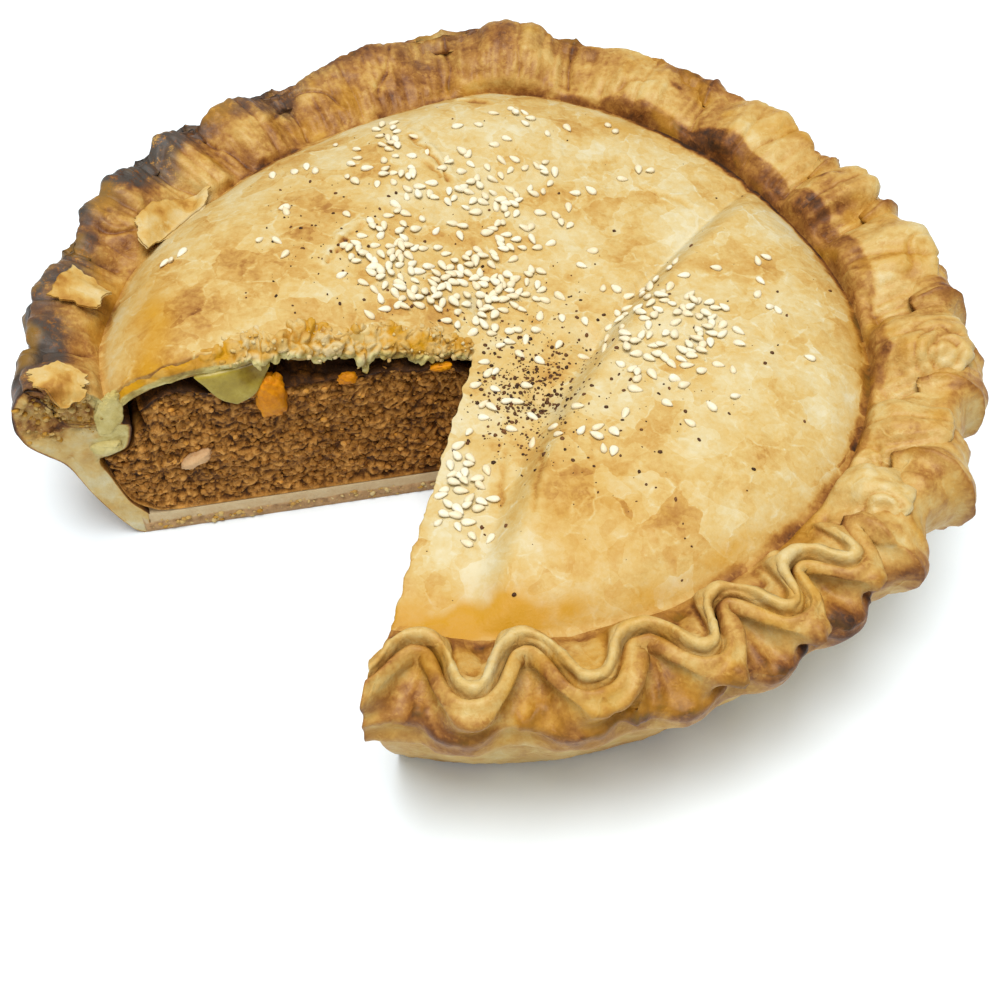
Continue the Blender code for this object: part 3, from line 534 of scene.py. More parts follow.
def rim_section(angle):
    """Ridge radius, ridge height, inner slope, outer radius and shelf height of the rim."""
    wave = flute(angle)
    outer_wave = flute(angle + rim_value(RIM_LEAN, angle))
    ridge = rim_value(RIM_RIDGE, angle) + wave * rim_value(RIM_RIDGE_WAVE, angle)
    top = rim_value(RIM_TOP, angle) + RIDGE_WAVE_HEIGHT * wave
    outer = rim_value(RIM_OUT, angle) + outer_wave * rim_value(RIM_OUT_WAVE, angle)
    return ridge, top, rim_value(RIM_SLOPE, angle), outer, rim_value(RIM_SHELF, angle)


def ridge_shift(angles, offset):
    """Plan shift of a row `offset` outside the ridge, square to the ridge's own curve.

    It falls back to the ring's direction at both cuts, so that the cut faces stay flat.
    """
    out = toward(angles)
    along = np.gradient(rim_section(angles)[0][:, None] * out, axis=0)
    square = unit(np.stack((along[:, 1], -along[:, 0]), -1))
    ends = smooth((angles - angles[0]) / 3) * smooth((angles[-1] - angles) / 3)
    return offset * (out + (square - out) * ends[:, None])


def rolled(angles):
    """Share of the rim that is one rounded roll: 0 in front, where its two layers stand apart."""
    return smooth((angles - 312) / 13)


def ridge_away(x, y):
    """Distance outside the ridge's curve: along the radius, less where the curve runs aslant."""
    angle = pie_angle(x, y)
    ridge = rim_section(angle)[0]
    ahead, behind = rim_section(angle + 0.4)[0], rim_section(angle - 0.4)[0]
    slant = (ahead - behind) / (math.radians(0.8) * ridge)
    return (np.hypot(x, y) - ridge) / np.sqrt(1 + slant * slant)


def crease_relief(points):
    """Creases: a cliff down, then a slow rise with small parallel folds, round the pie's edge."""
    x, y = points[..., 0], points[..., 1]
    out = np.clip(np.hypot(x, y) - 104, -9, 6)
    arc = np.radians(pie_angle(x, y)) * ARC_RADIUS + 1.5 * rough(points, 9, 2, 64)
    total = 0.0
    for angle, lean, deep, rise in CREASES:
        away = arc - math.radians(angle) * ARC_RADIUS - lean * out
        before, after = np.maximum(-away, 0), np.maximum(away, 0)
        cliff = np.where(away < 0, np.exp(-before / 1.9), np.exp(-after / (0.55 * rise)))
        folds = 0.13 * np.sin(2 * math.pi * after / 3.3) * np.exp(-after / 6)
        total = total + deep * (folds - cliff + 0.15 * bell((before - 4.0) / 2.6))
    return total


def roll_relief(points):
    """Relief of the rounded roll: creases, coils, soft lumps, thin wrinkles and folded lines."""
    x, y, z = np.moveaxis(points, -1, 0)
    angle, radius = pie_angle(x, y), np.hypot(x, y)
    stretched = np.stack((np.radians(angle) * ARC_RADIUS, 0.28 * (radius - z)), -1)
    creased = np.interp(angle, (340, 395, 420, 480, 557), (1.1, 0.95, 0.65, 0.65, 0.8))
    wrinkled = np.interp(angle, (320, 400, 440, 470, 557), (0.15, 0.35, 0.7, 0.9, 0.9))
    fluted = np.interp(angle, (330, 470, 557), (1.2, 0.8, 0.4))
    line = bell(rough(points, 15, 2, 54) / 0.06)
    line = line * np.clip(0.4 + 1.5 * rough(points, 11, 1, 55), 0, 1)
    total = creased * crease_relief(points) + fluted * flute(angle)
    total = total + 2.0 * rough(points, 15, 2, 69) + 1.0 * rough(points, 6.5, 3, 51)
    total = total + wrinkled * 1.1 * rough(stretched, 3.4, 3, 53) - 0.8 * line
    for place, away, size, gap in COILS:
        centre_x, centre_y = away * toward(place)
        apart = np.hypot(x - centre_x, y - centre_y) + 2.0 * rough(points, 7, 2, 56)
        turns = np.abs(np.sin(math.pi * apart / gap)) ** 0.6 - 0.6
        total = total + 1.1 * turns * np.exp(-(apart / size) ** 4) * smooth(apart / 2)
    return total


def rim_ends(angles):
    """Share of the relief that the rim keeps near its two cut ends."""
    return 0.25 + 0.75 * smooth((angles - angles[0]) / 5) * smooth((angles[-1] - angles) / 4)


def through(controls, count):
    """Rows of a smooth curve through rows of control points: Catmull-Rom, `count` rows."""
    controls = np.asarray(controls)
    before = 2 * controls[:1] - controls[1:2]
    beyond = 2 * controls[-1:] - controls[-2:-1]
    padded = np.concatenate((before, controls, beyond))
    lengths = np.linalg.norm(np.diff(controls, axis=0), axis=-1).mean(axis=1)
    stops = np.concatenate(((0.0,), np.cumsum(lengths)))
    place = np.interp(np.linspace(0, stops[-1], count), stops, np.arange(len(controls)))
    first = np.minimum(place.astype(int), len(controls) - 2)
    t = (place - first)[:, None, None]
    p0, p1, p2, p3 = (padded[first + step] for step in range(4))
    return 0.5 * (
        2 * p1 + (p2 - p0) * t + (2 * p0 - 5 * p1 + 4 * p2 - p3) * t**2
        + (3 * p1 - p0 - 3 * p2 + p3) * t**3
    )


def grid_normals(points):
    """Unit normals of a grid of points: cross product of its row and column steps."""
    return unit(np.cross(np.gradient(points, axis=0), np.gradient(points, axis=1)))


# ---------------------------------------------------------------- meshes


def numbered(grid, start=0):
    """Vertex numbers of a grid of points."""
    return start + np.arange(grid[..., 0].size).reshape(grid.shape[:2])


def grid_triangles(index):
    """Two triangles for each cell of a grid of vertex numbers."""
    a, b = index[:-1, :-1].ravel(), index[1:, :-1].ravel()
    c, d = index[1:, 1:].ravel(), index[:-1, 1:].ravel()
    return np.concatenate((np.stack((a, b, c), -1), np.stack((a, c, d), -1)))


def fan_triangles(coarse, fine):
    """Triangles between a line of vertices and one with SKIP times as many steps, fine on top."""
    groups = fine[: len(fine) - 1].reshape(-1, SKIP)
    fan = np.concatenate((groups, fine[SKIP::SKIP, None]), axis=1)
    left = np.repeat(coarse[:-1, None], SKIP, axis=1)
    fans = np.stack((left, fan[:, 1:], fan[:, :-1]), -1).reshape(-1, 3)
    last = np.stack((coarse[:-1], coarse[1:], fan[:, -1]), -1)
    return np.concatenate((fans, last))


def merged(points, triangles):
    """The mesh with points at one place made one, and without triangles of no area.

    The third result is the number that each kept point had.
    """
    key = np.round(points * 1e4).astype(np.int64)
    _, first, same = np.unique(key, axis=0, return_index=True, return_inverse=True)
    triangles = same.ravel()[triangles]
    a, b, c = triangles.T
    return points[first], triangles[(a != b) & (b != c) & (a != c)], first


def closed(grid):
    """The mesh of a grid whose opposite edges meet or end in one point."""
    return merged(grid.reshape(-1, 3), grid_triangles(numbered(grid)))[:2]


def band(upper, lower, layers, relief):
    """A closed solid between an upper grid of rows and a lower one with every SKIPth column.

    The cut faces at its first and last column have `layers` steps from the upper to the lower
    row, at even shares of the way, moved by relief(points, side). Returns points, triangles and
    each point's zone: 0 upper, 1 lower, 2 and 3 the right and the left cut face.
    """
    rows = len(upper)
    points, zones = [upper.reshape(-1, 3), lower.reshape(-1, 3)], [0, 1]
    top = numbered(upper)
    low = numbered(lower, top.size)
    triangles = [grid_triangles(top), grid_triangles(low[:, ::-1])]
    triangles.append(fan_triangles(low[-1], top[-1]))
    triangles.append(fan_triangles(low[0], top[0])[:, ::-1])
    count = top.size + low.size
    for side in (0, -1):
        share = np.linspace(0, 1, layers + 1)[None, 1:-1, None]
        start, end = upper[:, side][:, None], lower[:, side][:, None]
        inner = start + (end - start) * share
        steps = np.arange(1, layers)
        fade = np.minimum(1.0, np.minimum(steps, layers - steps) / 2.5)[None, :, None]
        inner = inner + (relief(inner, side) - inner) * fade
        inner[0], inner[-1] = upper[0, side], upper[-1, side]
        face = count + np.arange(rows * (layers - 1)).reshape(rows, layers - 1)
        count += face.size
        face = np.concatenate((top[:, side, None], face, low[:, side, None]), axis=1)
        points.append(inner.reshape(-1, 3))
        zones.append(3 if side else 2)
        triangles.append(grid_triangles(face if side else face[:, ::-1]))
    zone = np.concatenate([np.full(len(part), number) for part, number in zip(points, zones)])
    points, triangles, first = merged(np.concatenate(points), np.concatenate(triangles))
    return points, triangles, zone[first]


def slab(front, back):
    """A closed solid between two grids of one shape; the front faces out. As merged()."""
    face = numbered(front)
    rear = numbered(back, face.size)
    triangles = [grid_triangles(face), grid_triangles(rear[:, ::-1])]
    for near, far in (
        (face[0], rear[0]), (rear[-1], face[-1]),
        (rear[:, 0], face[:, 0]), (face[:, -1], rear[:, -1]),
    ):
        triangles.append(grid_triangles(np.stack((near, far))))
    points = np.concatenate((front.reshape(-1, 3), back.reshape(-1, 3)))
    return merged(points, np.concatenate(triangles))


def proud(points, triangles, rounds):
    """How far each point stands out of its surroundings, averaged over `rounds` of neighbours."""
    a, b = np.concatenate((triangles[:, :2], triangles[:, 1:], triangles[:, ::2])).T
    count = len(points)
    near = np.maximum(np.bincount(a, minlength=count) + np.bincount(b, minlength=count), 1)
    mean = points
    for _ in range(rounds):
        sums = [
            np.bincount(a, mean[b, axis], count) + np.bincount(b, mean[a, axis], count)
            for axis in range(3)
        ]
        mean = np.stack(sums, -1) / near[:, None]
    one, two, three = points[triangles].transpose(1, 0, 2)
    face = np.cross(two - one, three - one)
    normal = [
        sum(np.bincount(triangles[:, corner], face[:, axis], count) for corner in range(3))
        for axis in range(3)
    ]
    return np.sum((points - mean) * unit(np.stack(normal, -1)), axis=1)


def make_piece(name, mesh_parts, material, slot, replaced=(), faceted=False, **values):
    """A named object from points in millimetres, with one number a point in each attribute."""
    points, triangles = mesh_parts
    mesh = bpy.data.meshes.new(name)
    place = points + np.append(AXIS, 0.0)
    mesh.vertices.add(len(points))
    mesh.vertices.foreach_set("co", (place * MM).astype(np.float32).ravel())
    mesh.loops.add(3 * len(triangles))
    mesh.loops.foreach_set("vertex_index", triangles.astype(np.int32).ravel())
    mesh.polygons.add(len(triangles))
    mesh.polygons.foreach_set("loop_start", 3 * np.arange(len(triangles), dtype=np.int32))
    mesh.update(calc_edges=True)
    for label, value in values.items():
        layer = mesh.attributes.new(label, "FLOAT", "POINT")
        layer.data.foreach_set("value", np.broadcast_to(value, len(points)).astype(np.float32))
    if not faceted:
        mesh.shade_smooth()
    mesh.materials.append(material)
    piece = bpy.data.objects.new(name, mesh)
    bpy.context.scene.collection.objects.link(piece)
    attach(piece, "root")
    if replaced:
        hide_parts(*replaced)
    return piece


def scatter(shape, triangles, places, turns, sizes):
    """Copies of one small shape joined: each turned by its own 3 x 3 turn, sized and placed."""
    points = np.einsum("nij,nvj->nvi", turns, shape[None] * sizes[:, None]) + places[:, None]
    offsets = len(shape) * np.arange(len(places))[:, None, None]
    return points.reshape(-1, 3), (triangles[None] + offsets).reshape(-1, 3)


def turned_to(normals, spins):
    """Turns that lay +Z along each normal, spun about it by each angle in radians."""
    flat = np.stack((np.cos(spins), np.sin(spins), np.zeros_like(spins)), -1)
    x = unit(flat - normals * np.sum(flat * normals, axis=1, keepdims=True))
    return np.stack((x, np.cross(normals, x), normals), -1)


# ---------------------------------------------------------------- materials


class Graph:
    """Short calls that add linked nodes to one node tree."""

    def __init__(self, tree):
        self.tree = tree
        self.tree.nodes.clear()

    def put(self, socket, value):
        """Link a socket to another's output, or set its number or colour."""
        if isinstance(value, bpy.types.NodeSocket):
            self.tree.links.new(value, socket)
        else:
            socket.default_value = value

    def add(self, kind, inputs=(), **settings):
        """A node with its settings, and its input sockets set or linked."""
        node = self.tree.nodes.new(kind)
        for name, value in settings.items():
            setattr(node, name, value)
        for key, value in dict(inputs).items():
            self.put(node.inputs[key], value)
        return node

    def math(self, operation, *values, clamp=False):
        """One step of arithmetic."""
        node = self.add("ShaderNodeMath", enumerate(values), operation=operation, use_clamp=clamp)
        return node.outputs[0]

    def plus(self, first, *others, clamp=False):
        """Values added up."""
        for other in others:
            first = self.math("ADD", first, other, clamp=clamp)
        return first

    def times(self, first, *others):
        """Values multiplied."""
        for other in others:
            first = self.math("MULTIPLY", first, other)
        return first

    def minus(self, first, second):
        """One value less another."""
        return self.math("SUBTRACT", first, second)

    def around(self, value, strength=1.0):
        """Noise made to swing to both sides of 0, times a strength."""
        return self.times(self.minus(value, 0.5), strength)

    def noise(self, vector, size_mm, detail=2.0, roughness=0.5, distortion=0.0):
        """Noise from 0 to 1 with features of a size in millimetres."""
        inputs = {
            "Vector": vector, "Scale": 1 / (size_mm * MM), "Detail": detail,
            "Roughness": roughness, "Distortion": distortion,
        }
        return self.add("ShaderNodeTexNoise", inputs).outputs["Fac"]

    def cells(self, vector, size_mm, feature="F1", output="Distance"):
        """Voronoi cells of a size in millimetres."""
        inputs = {"Vector": vector, "Scale": 1 / (size_mm * MM)}
        return self.add("ShaderNodeTexVoronoi", inputs, feature=feature).outputs[output]

    def cell_shade(self, vector, size_mm, channel):
        """A random number for each Voronoi cell."""
        colour = self.cells(vector, size_mm, output="Color")
        return self.add("ShaderNodeSeparateColor", {0: colour}).outputs[channel]

    def warped(self, vector, size_mm, by_mm):
        """A vector bent by noise of a size, by an amount, both in millimetres."""
        inputs = {"Vector": vector, "Scale": 1 / (size_mm * MM), "Detail": 3.0, "Roughness": 0.5}
        bend = self.add("ShaderNodeTexNoise", inputs).outputs["Color"]
        inputs = {0: bend, 1: (by_mm * MM,) * 3, 2: vector}
        return self.add("ShaderNodeVectorMath", inputs, operation="MULTIPLY_ADD").outputs[0]

    def step(self, value, low, high, to_low=0.0, to_high=1.0):
        """A smooth step of a value from low to high."""
        inputs = {
            "Value": value, "From Min": low, "From Max": high, "To Min": to_low, "To Max": to_high,
        }
        node = self.add("ShaderNodeMapRange", inputs, interpolation_type="SMOOTHSTEP")
        return node.outputs["Result"]

    def mix(self, factor, first, second):
        """Two colours mixed."""
        node = self.add("ShaderNodeMix", data_type="RGBA", blend_type="MIX")
        for place, value in ((0, factor), (6, first), (7, second)):
            self.put(node.inputs[place], (*value, 1.0) if isinstance(value, tuple) else value)
        return node.outputs[2]

    def ramp(self, value, stops):
        """Colours along a value: stops of (place, colour)."""
        node = self.add("ShaderNodeValToRGB", {"Fac": value})
        elements = node.color_ramp.elements
        while len(elements) < len(stops):
            elements.new(0.5)
        for element, (place, colour) in zip(elements, stops):
            element.position = place
            element.color = (*colour, 1.0)
        return node.outputs["Color"]

    def attribute(self, name):
        """A number of the mesh's points."""
        return self.add("ShaderNodeAttribute", attribute_name=name).outputs["Fac"]

    def place(self):
        """Object coordinates."""
        return self.add("ShaderNodeTexCoord").outputs["Object"]

    def finish(self, colour, roughness, height, bump_mm, coat, coat_roughness):
        """The shader with its bump and the material's output."""
        inputs = {"Height": height, "Distance": bump_mm * MM, "Strength": 1.0}
        bump = self.add("ShaderNodeBump", inputs)
        inputs = {
            "Base Color": colour, "Roughness": roughness, "Normal": bump.outputs[0],
            "Coat Weight": coat, "Coat Roughness": coat_roughness, "Specular IOR Level": 0.2,
        }
        shader = self.add("ShaderNodeBsdfPrincipled", inputs)
        self.add("ShaderNodeOutputMaterial", {"Surface": shader.outputs[0]})


# How much brighter than 1 a white surface is in the studio light: on top, and on the cut faces
LIGHT = 1.49
CUT_LIGHT = 1.08


def srgb(red, green, blue, light=LIGHT):
    """A colour as it looks in the studio light, 0 to 255, as linear numbers of the surface."""
    channels = np.array((red, green, blue)) / 255
    linear = np.where(channels < 0.04045, channels / 12.92, ((channels + 0.055) / 1.055) ** 2.4)
    return tuple(linear / light)


def shaded(red, green, blue):
    """A colour as it looks on the cut faces, which the studio light reaches less."""
    return srgb(red, green, blue, CUT_LIGHT)


CRUST_TONES = (
    (0.00, srgb(242, 228, 186)),
    (0.16, srgb(237, 214, 156)),
    (0.34, srgb(231, 195, 119)),
    (0.50, srgb(217, 168, 86)),
    (0.64, srgb(186, 129, 58)),
    (0.78, srgb(142, 86, 34)),
    (0.90, srgb(98, 58, 26)),
    (1.00, srgb(66, 42, 26)),
)
RAW_TONES = (
    (0.0, srgb(246, 232, 160)),
    (0.3, srgb(226, 208, 126)),
    (0.6, srgb(190, 166, 84)),
    (1.0, srgb(124, 94, 42)),
)
BURNT = srgb(84, 76, 68)
AMBER = srgb(220, 158, 4)
MINCE_TONES = (
    (0.00, shaded(58, 32, 8)),
    (0.22, shaded(102, 60, 14)),
    (0.46, shaded(160, 106, 40)),
    (0.68, shaded(190, 132, 60)),
    (0.85, shaded(216, 156, 78)),
    (1.00, shaded(222, 152, 54)),
)
PALE_MINCE_TONES = ((0.0, shaded(176, 124, 72)), (1.0, shaded(236, 200, 152)))
CUT_BASE_TONES = (
    (0.0, shaded(118, 82, 48)),
    (0.4, shaded(186, 148, 102)),
    (0.7, shaded(206, 182, 140)),
    (1.0, shaded(224, 204, 164)),
)
MELTED_TONES = (
    (0.0, shaded(104, 78, 8)),
    (0.5, shaded(166, 144, 46)),
    (1.0, shaded(210, 194, 104)),
)
PEPPER_TONES = ((0.0, srgb(40, 26, 16)), (0.5, srgb(112, 70, 36)), (1.0, srgb(176, 118, 62)))
CHEDDAR_DARK, CHEDDAR_PALE = shaded(160, 88, 0), shaded(236, 168, 6)
SEED_DARK, SEED_PALE = srgb(232, 204, 150, 1.25), srgb(255, 252, 236, 1.15)
DOUGH_INPUTS = (
    ("Bake", 0.3), ("Crease", 0.0), ("Wet", 0.0), ("Raw", 0.0), ("Char", 0.0),
    ("Mottle", 0.1), ("Fleck", 0.3), ("Veins", 0.0), ("Patch", 0.0),
)


def new_group(name, inputs, outputs):
    """An empty node group with named inputs (name, default) and outputs (name, socket type)."""
    group = bpy.data.node_groups.new(name, "ShaderNodeTree")
    for label, default in inputs:
        socket = group.interface.new_socket(label, in_out="INPUT", socket_type="NodeSocketFloat")
        socket.default_value = default
    for label, kind in outputs:
        group.interface.new_socket(label, in_out="OUTPUT", socket_type=kind)
    graph = Graph(group)
    entry = graph.add("NodeGroupInput").outputs
    leave = graph.add("NodeGroupOutput").inputs
    return group, graph, entry, leave


def baked_dough_group():
    """Colour, roughness and height of baked dough.

    The tone is Bake, plus mottling of three sizes, plus flaky patches, plus Crease, which is
    painted shade in creases, cracks and hollows and also the real dark seams and juice, less the
    pale veins and flecks; it picks a colour from cream over gold and brown to black. Raw turns
    it to pale yellow dough, Char adds grey burnt spots, and Wet an amber glaze.
    """
    float_socket = "NodeSocketFloat"
    outputs = (("Color", "NodeSocketColor"), ("Roughness", float_socket), ("Height", float_socket))
    group, graph, entry, leave = new_group("baked dough", DOUGH_INPUTS, outputs)
    place = graph.place()
    warped = graph.warped(place, 9.0909, 8)
    large = graph.noise(place, 17, 3.0, 0.55, 0.4)
    middle = graph.noise(place, 5, 3.0, 0.6, 0.3)
    fine = graph.noise(place, 1.3, 2.0, 0.6)
    tiny = graph.noise(place, 0.45, 2.0, 0.6)
    mottle = graph.plus(graph.around(large, 1.6), graph.around(middle), graph.around(fine, 0.6))
    broken = graph.step(graph.noise(place, 3.2, 3.0, 0.6), 0.46, 0.62)
    vein = graph.step(graph.cells(warped, 8.5, "DISTANCE_TO_EDGE"), 0.0, 0.07, 1.0, 0.0)
    vein = graph.times(vein, broken, graph.step(large, 0.36, 0.6))
    level = graph.around(graph.noise(warped, 15.0, 3.0, 0.55))
    streak = graph.step(graph.math("ABSOLUTE", level), 0.004, 0.034, 1.0, 0.0)
    streak = graph.times(streak, graph.step(middle, 0.44, 0.70, 0.0, 0.6))
    vein = graph.math("MAXIMUM", vein, streak)
    small_patch = graph.times(graph.cell_shade(warped, 3.4, 1), 0.6)
    patch = graph.plus(graph.cell_shade(warped, 8.5, 0), small_patch, -0.8)
    fleck = graph.times(graph.step(middle, 0.52, 0.66), graph.step(fine, 0.42, 0.62))
    tone = graph.plus(
        entry["Bake"],
        graph.times(mottle, entry["Mottle"]),
        # Crease: painted shade in creases, cracks and hollows, and the real dark seams and juice
        graph.times(entry["Crease"], 0.30),
        graph.times(patch, entry["Patch"]),
        graph.times(vein, entry["Veins"], -1.0),
        graph.times(fleck, entry["Fleck"], -0.3),
    )
    raw = graph.ramp(graph.plus(graph.times(mottle, 0.5), graph.times(tone, 1.4)), RAW_TONES)
    burnt = graph.times(entry["Char"], graph.step(graph.plus(middle, fine, tiny), 1.08, 1.52))
    colour = graph.mix(entry["Raw"], graph.ramp(tone, CRUST_TONES), raw)
    colour = graph.mix(burnt, colour, BURNT)
    graph.put(leave["Color"], graph.mix(graph.times(entry["Wet"], 0.95), colour, AMBER))
    dryness = graph.plus(graph.around(middle, 0.3), 0.5, graph.times(entry["Wet"], -0.06))
    dryness = graph.plus(dryness, graph.times(entry["Crease"], 0.15), clamp=True)
    graph.put(leave["Roughness"], dryness)
    graph.put(leave["Height"], graph.plus(
        graph.times(middle, 0.6), graph.times(fine, 0.5), graph.times(tiny, 0.3),
        graph.times(vein, 0.35),
    ))
    return group


def new_material(name):
    """An empty material and its graph."""
    material = bpy.data.materials.new(name)
    material.use_nodes = True
    return material, Graph(material.node_tree)


def dough_material(name, roughness_shift, coat, bump_mm, **settings):
    """Baked dough: the group's colour on a shader, with the values of the mesh's points."""
    material, graph = new_material(name)
    group = bpy.data.node_groups.get("baked dough") or baked_dough_group()
    dough = graph.add("ShaderNodeGroup", node_tree=group)
    for label in ("bake", "crease", "wet", "raw", "char"):
        graph.put(dough.inputs[label.capitalize()], graph.attribute(label))
    for label, value in settings.items():
        graph.put(dough.inputs[label.capitalize()], value)
    roughness = graph.plus(dough.outputs["Roughness"], roughness_shift, clamp=True)
    graph.finish(dough.outputs["Color"], roughness, dough.outputs["Height"], bump_mm, coat, 0.3)
    return material


def simple_material(name, stops, tone, roughness, bump_mm, sizes, spread, coat=0.0, tinted=True):
    """A mottled material: noise of two sizes, and the points' tint, along colour stops."""
    material, graph = new_material(name)
    place = graph.place()
    large = graph.noise(place, sizes[0], 3.0, 0.6)
    fine = graph.noise(place, sizes[1], 3.0, 0.65)
    value = graph.plus(graph.around(large, spread), tone, graph.around(fine, spread))
    if tinted:
        value = graph.plus(value, graph.attribute("tint"))
    height = graph.plus(large, graph.times(fine, 0.5))
    dryness = graph.plus(graph.around(fine, 0.3), roughness)
    graph.finish(graph.ramp(value, stops), dryness, height, bump_mm, coat, 0.25)
    return material


# ---------------------------------------------------------------- tones

# Soft patches on the lid: x, y, half width in x and y, turn in degrees, and how much browner
LID_TONES = (
    # the first four rows make the lid's left side browner: partly real browning, partly painted
    # shade of the side that faces away from the light
    (-84, -4, 9, 16, 10, 0.08),
    (-68, -8, 14, 9, -20, 0.14),
    (-80, -22, 12, 5, -10, 0.08),
    (-60, 10, 22, 24, 0, 0.12),
    (-35, 35, 22, 24, 0, 0.05),
    (-8, 20, 22, 26, 0, 0.03),
    (-2, 62, 26, 14, 0, -0.05),
    (12, 80, 24, 6, 0, -0.03),
    (50, 58, 14, 8, -35, 0.06),
    (66, 36, 14, 7, -40, -0.14),
    # painted light: the next row makes the fold's left-facing slope paler (painted highlight), the
    # row after makes the valley beside it browner (painted shade)
    (50, 28, 5, 16, -35, -0.12),
    (36, 22, 8, 20, -20, 0.12),
    (90, -8, 4, 18, 0, 0.12),
    (84, -38, 5, 14, -20, 0.10),
    (66, -66, 12, 6, 35, 0.06),
    (62, -12, 24, 26, 0, -0.09),
    (22, -62, 15, 24, 0, 0.15),
    (-8, -60, 7, 26, 6, -0.12),
    (8, -66, 2.5, 18, 5, -0.12),
    (-4, -30, 6, 12, 0, 0.04),
    (18, -18, 9, 12, 0, 0.10),
    (46, -62, 16, 10, 20, 0.02),
)
# Glossy amber pools on the lid: x, y, half width in x and y, turn, strength
LID_POOLS = (
    (-8, -88.0, 12, 5.6, 0, 1.3),
    (6, -88, 8, 4.4, 10, 0.6),
    (15, -88, 8, 3.0, 10, 0.4),
    (-76, -27, 7, 4, -30, 0.45),
    (-80, -14, 4, 12, 0, 0.3),
    (34, 76, 12, 3, -25, 0.25),
    (34.6, -83, 7, 2.4, 24, 0.8),
    (52, -72, 8, 2.0, 36, 0.4),
    (90, -12, 2.4, 14, 0, 0.35),
    (24, -70, 18, 14, 0, 0.22),
    (-84, -6, 6, 20, 6, 0.25),
)
# Dark marks on the rim: x, y, half width in x and y, turn, strength
RIM_MARKS = (
    (98.4, 14.7, 3.6, 0.8, 8, 1.6),
    (88.0, 47.8, 1.6, 1.2, 0, 1.4),
    (53.0, 88.3, 1.8, 1.0, -30, 1.3),
    (29.0, 105.0, 3.0, 1.4, -15, 0.9),
    (92.0, 36.0, 3.0, 3.0, 0, 0.5),
    (-4.0, -104.5, 2.0, 1.2, 0, 0.6),
)
# Round the pie: how browned the rim is, and how burnt its upper outer edge
RIM_TONE_ANGLES = (
    257, 275, 300, 320, 345, 372, 390, 410, 432, 455, 475, 495, 515, 535, 548, 557,
)
RIM_TONES = (
    0.39, 0.39, 0.39, 0.40, 0.41, 0.43, 0.49, 0.54, 0.50, 0.60, 0.64, 0.60, 0.55, 0.58, 0.63, 0.60,
)
RIM_CHAR = (0, 0, 0, 0, 0, 0, 0, 0, 0.05, 0.25, 0.5, 0.75, 1.1, 1.1, 0.9, 0.5)
# The sticky dark groove between lid and rim: its strength, and how wide it is on the rim
STICKY_ANGLES = (257, 292, 305, 320, 345, 360, 378, 392, 420, 440, 500, 557)
STICKY = (0.1, 0.2, 0.7, 0.9, 0.9, 1.1, 1.7, 1.7, 1.3, 0.7, 0.7, 0.4)
STICKY_WIDE = (-1, -1, -0.4, 0.3, 1.2, 3.6, 5.4, 5.0, 1.8, -0.2, -0.4, -1)


def patches(x, y, rows):
    """Sum of soft ovals: strength times a bell curve of the turned, scaled distance."""
    total = np.zeros_like(x)
    for centre_x, centre_y, half_x, half_y, turn, strength in rows:
        cos, sin = toward(turn)
        across = ((x - centre_x) * cos + (y - centre_y) * sin) / half_x
        up = (-(x - centre_x) * sin + (y - centre_y) * cos) / half_y
        total += strength * bell(across) * bell(up)
    return total


def sticky_strength(angle):
    """How sticky and dark the groove is at these angles."""
    return np.interp(angle, STICKY_ANGLES, STICKY)


def lid_tone(x, y):
    """Lid browning: patches, darker at the groove; painted shade in cracks, highlight on their
    lips.
    """
    angle = pie_angle(x, y)
    edge = np.hypot(x, y) - groove_radius(angle)
    depth, lip = crack_masks(x, y)
    tone = 0.30 + patches(x, y, LID_TONES) + 0.05 * rough(np.stack((x, y), -1), 20, 2, 41)
    tone = tone + 0.16 * smooth((edge + 2.2) / 2.2) * (0.6 + sticky_strength(angle))
    # painted shade in the cracks and a painted highlight on their raised lips
    return tone + 0.03 * smooth((edge + 9) / 8) + 0.35 * depth - 0.3 * lip


def rim_tone(points):
    """How browned the rim is, by angle, and how burnt: the upper outer edge at the left."""
    x, y, z = points.T
    angle = pie_angle(x, y)
    outside = np.hypot(x, y) - rim_section(angle)[0]
    edge = smooth((outside + 6.5 + 6 * rough(points, 8, 2, 43)) / 8) * smooth((z - 38) / 10)
    patchy = np.clip(0.85 + 1.0 * rough(points, 9, 3, 44), 0, 1.2)
    char = np.interp(angle, RIM_TONE_ANGLES, RIM_CHAR) * edge * patchy
    tone = np.interp(angle, RIM_TONE_ANGLES, RIM_TONES) + 0.06 * rough(points, 14, 2, 45)
    return tone + 0.27 * char, np.clip(char, 0, 1)


# ---------------------------------------------------------------- crusts


def row_radii(nominal, angles):
    """Radii of rows at these angles: as named inside, and meeting the groove at the lid's edge."""
    share = smooth((nominal - INNER_RADIUS) / (GROOVE_NOMINAL - INNER_RADIUS))
    return nominal * (1 + share * (groove_radius(angles) / GROOVE_NOMINAL - 1))


def ragged_tear(nominal, clean):
    """Small raggedness of the lid's edge along the left cut, less where the cut is clean."""
    line = np.stack((nominal, nominal), -1)
    return 1.7 * rough(line, 5, 3, 71) * smooth(nominal / 8) * (1 - 0.8 * clean)


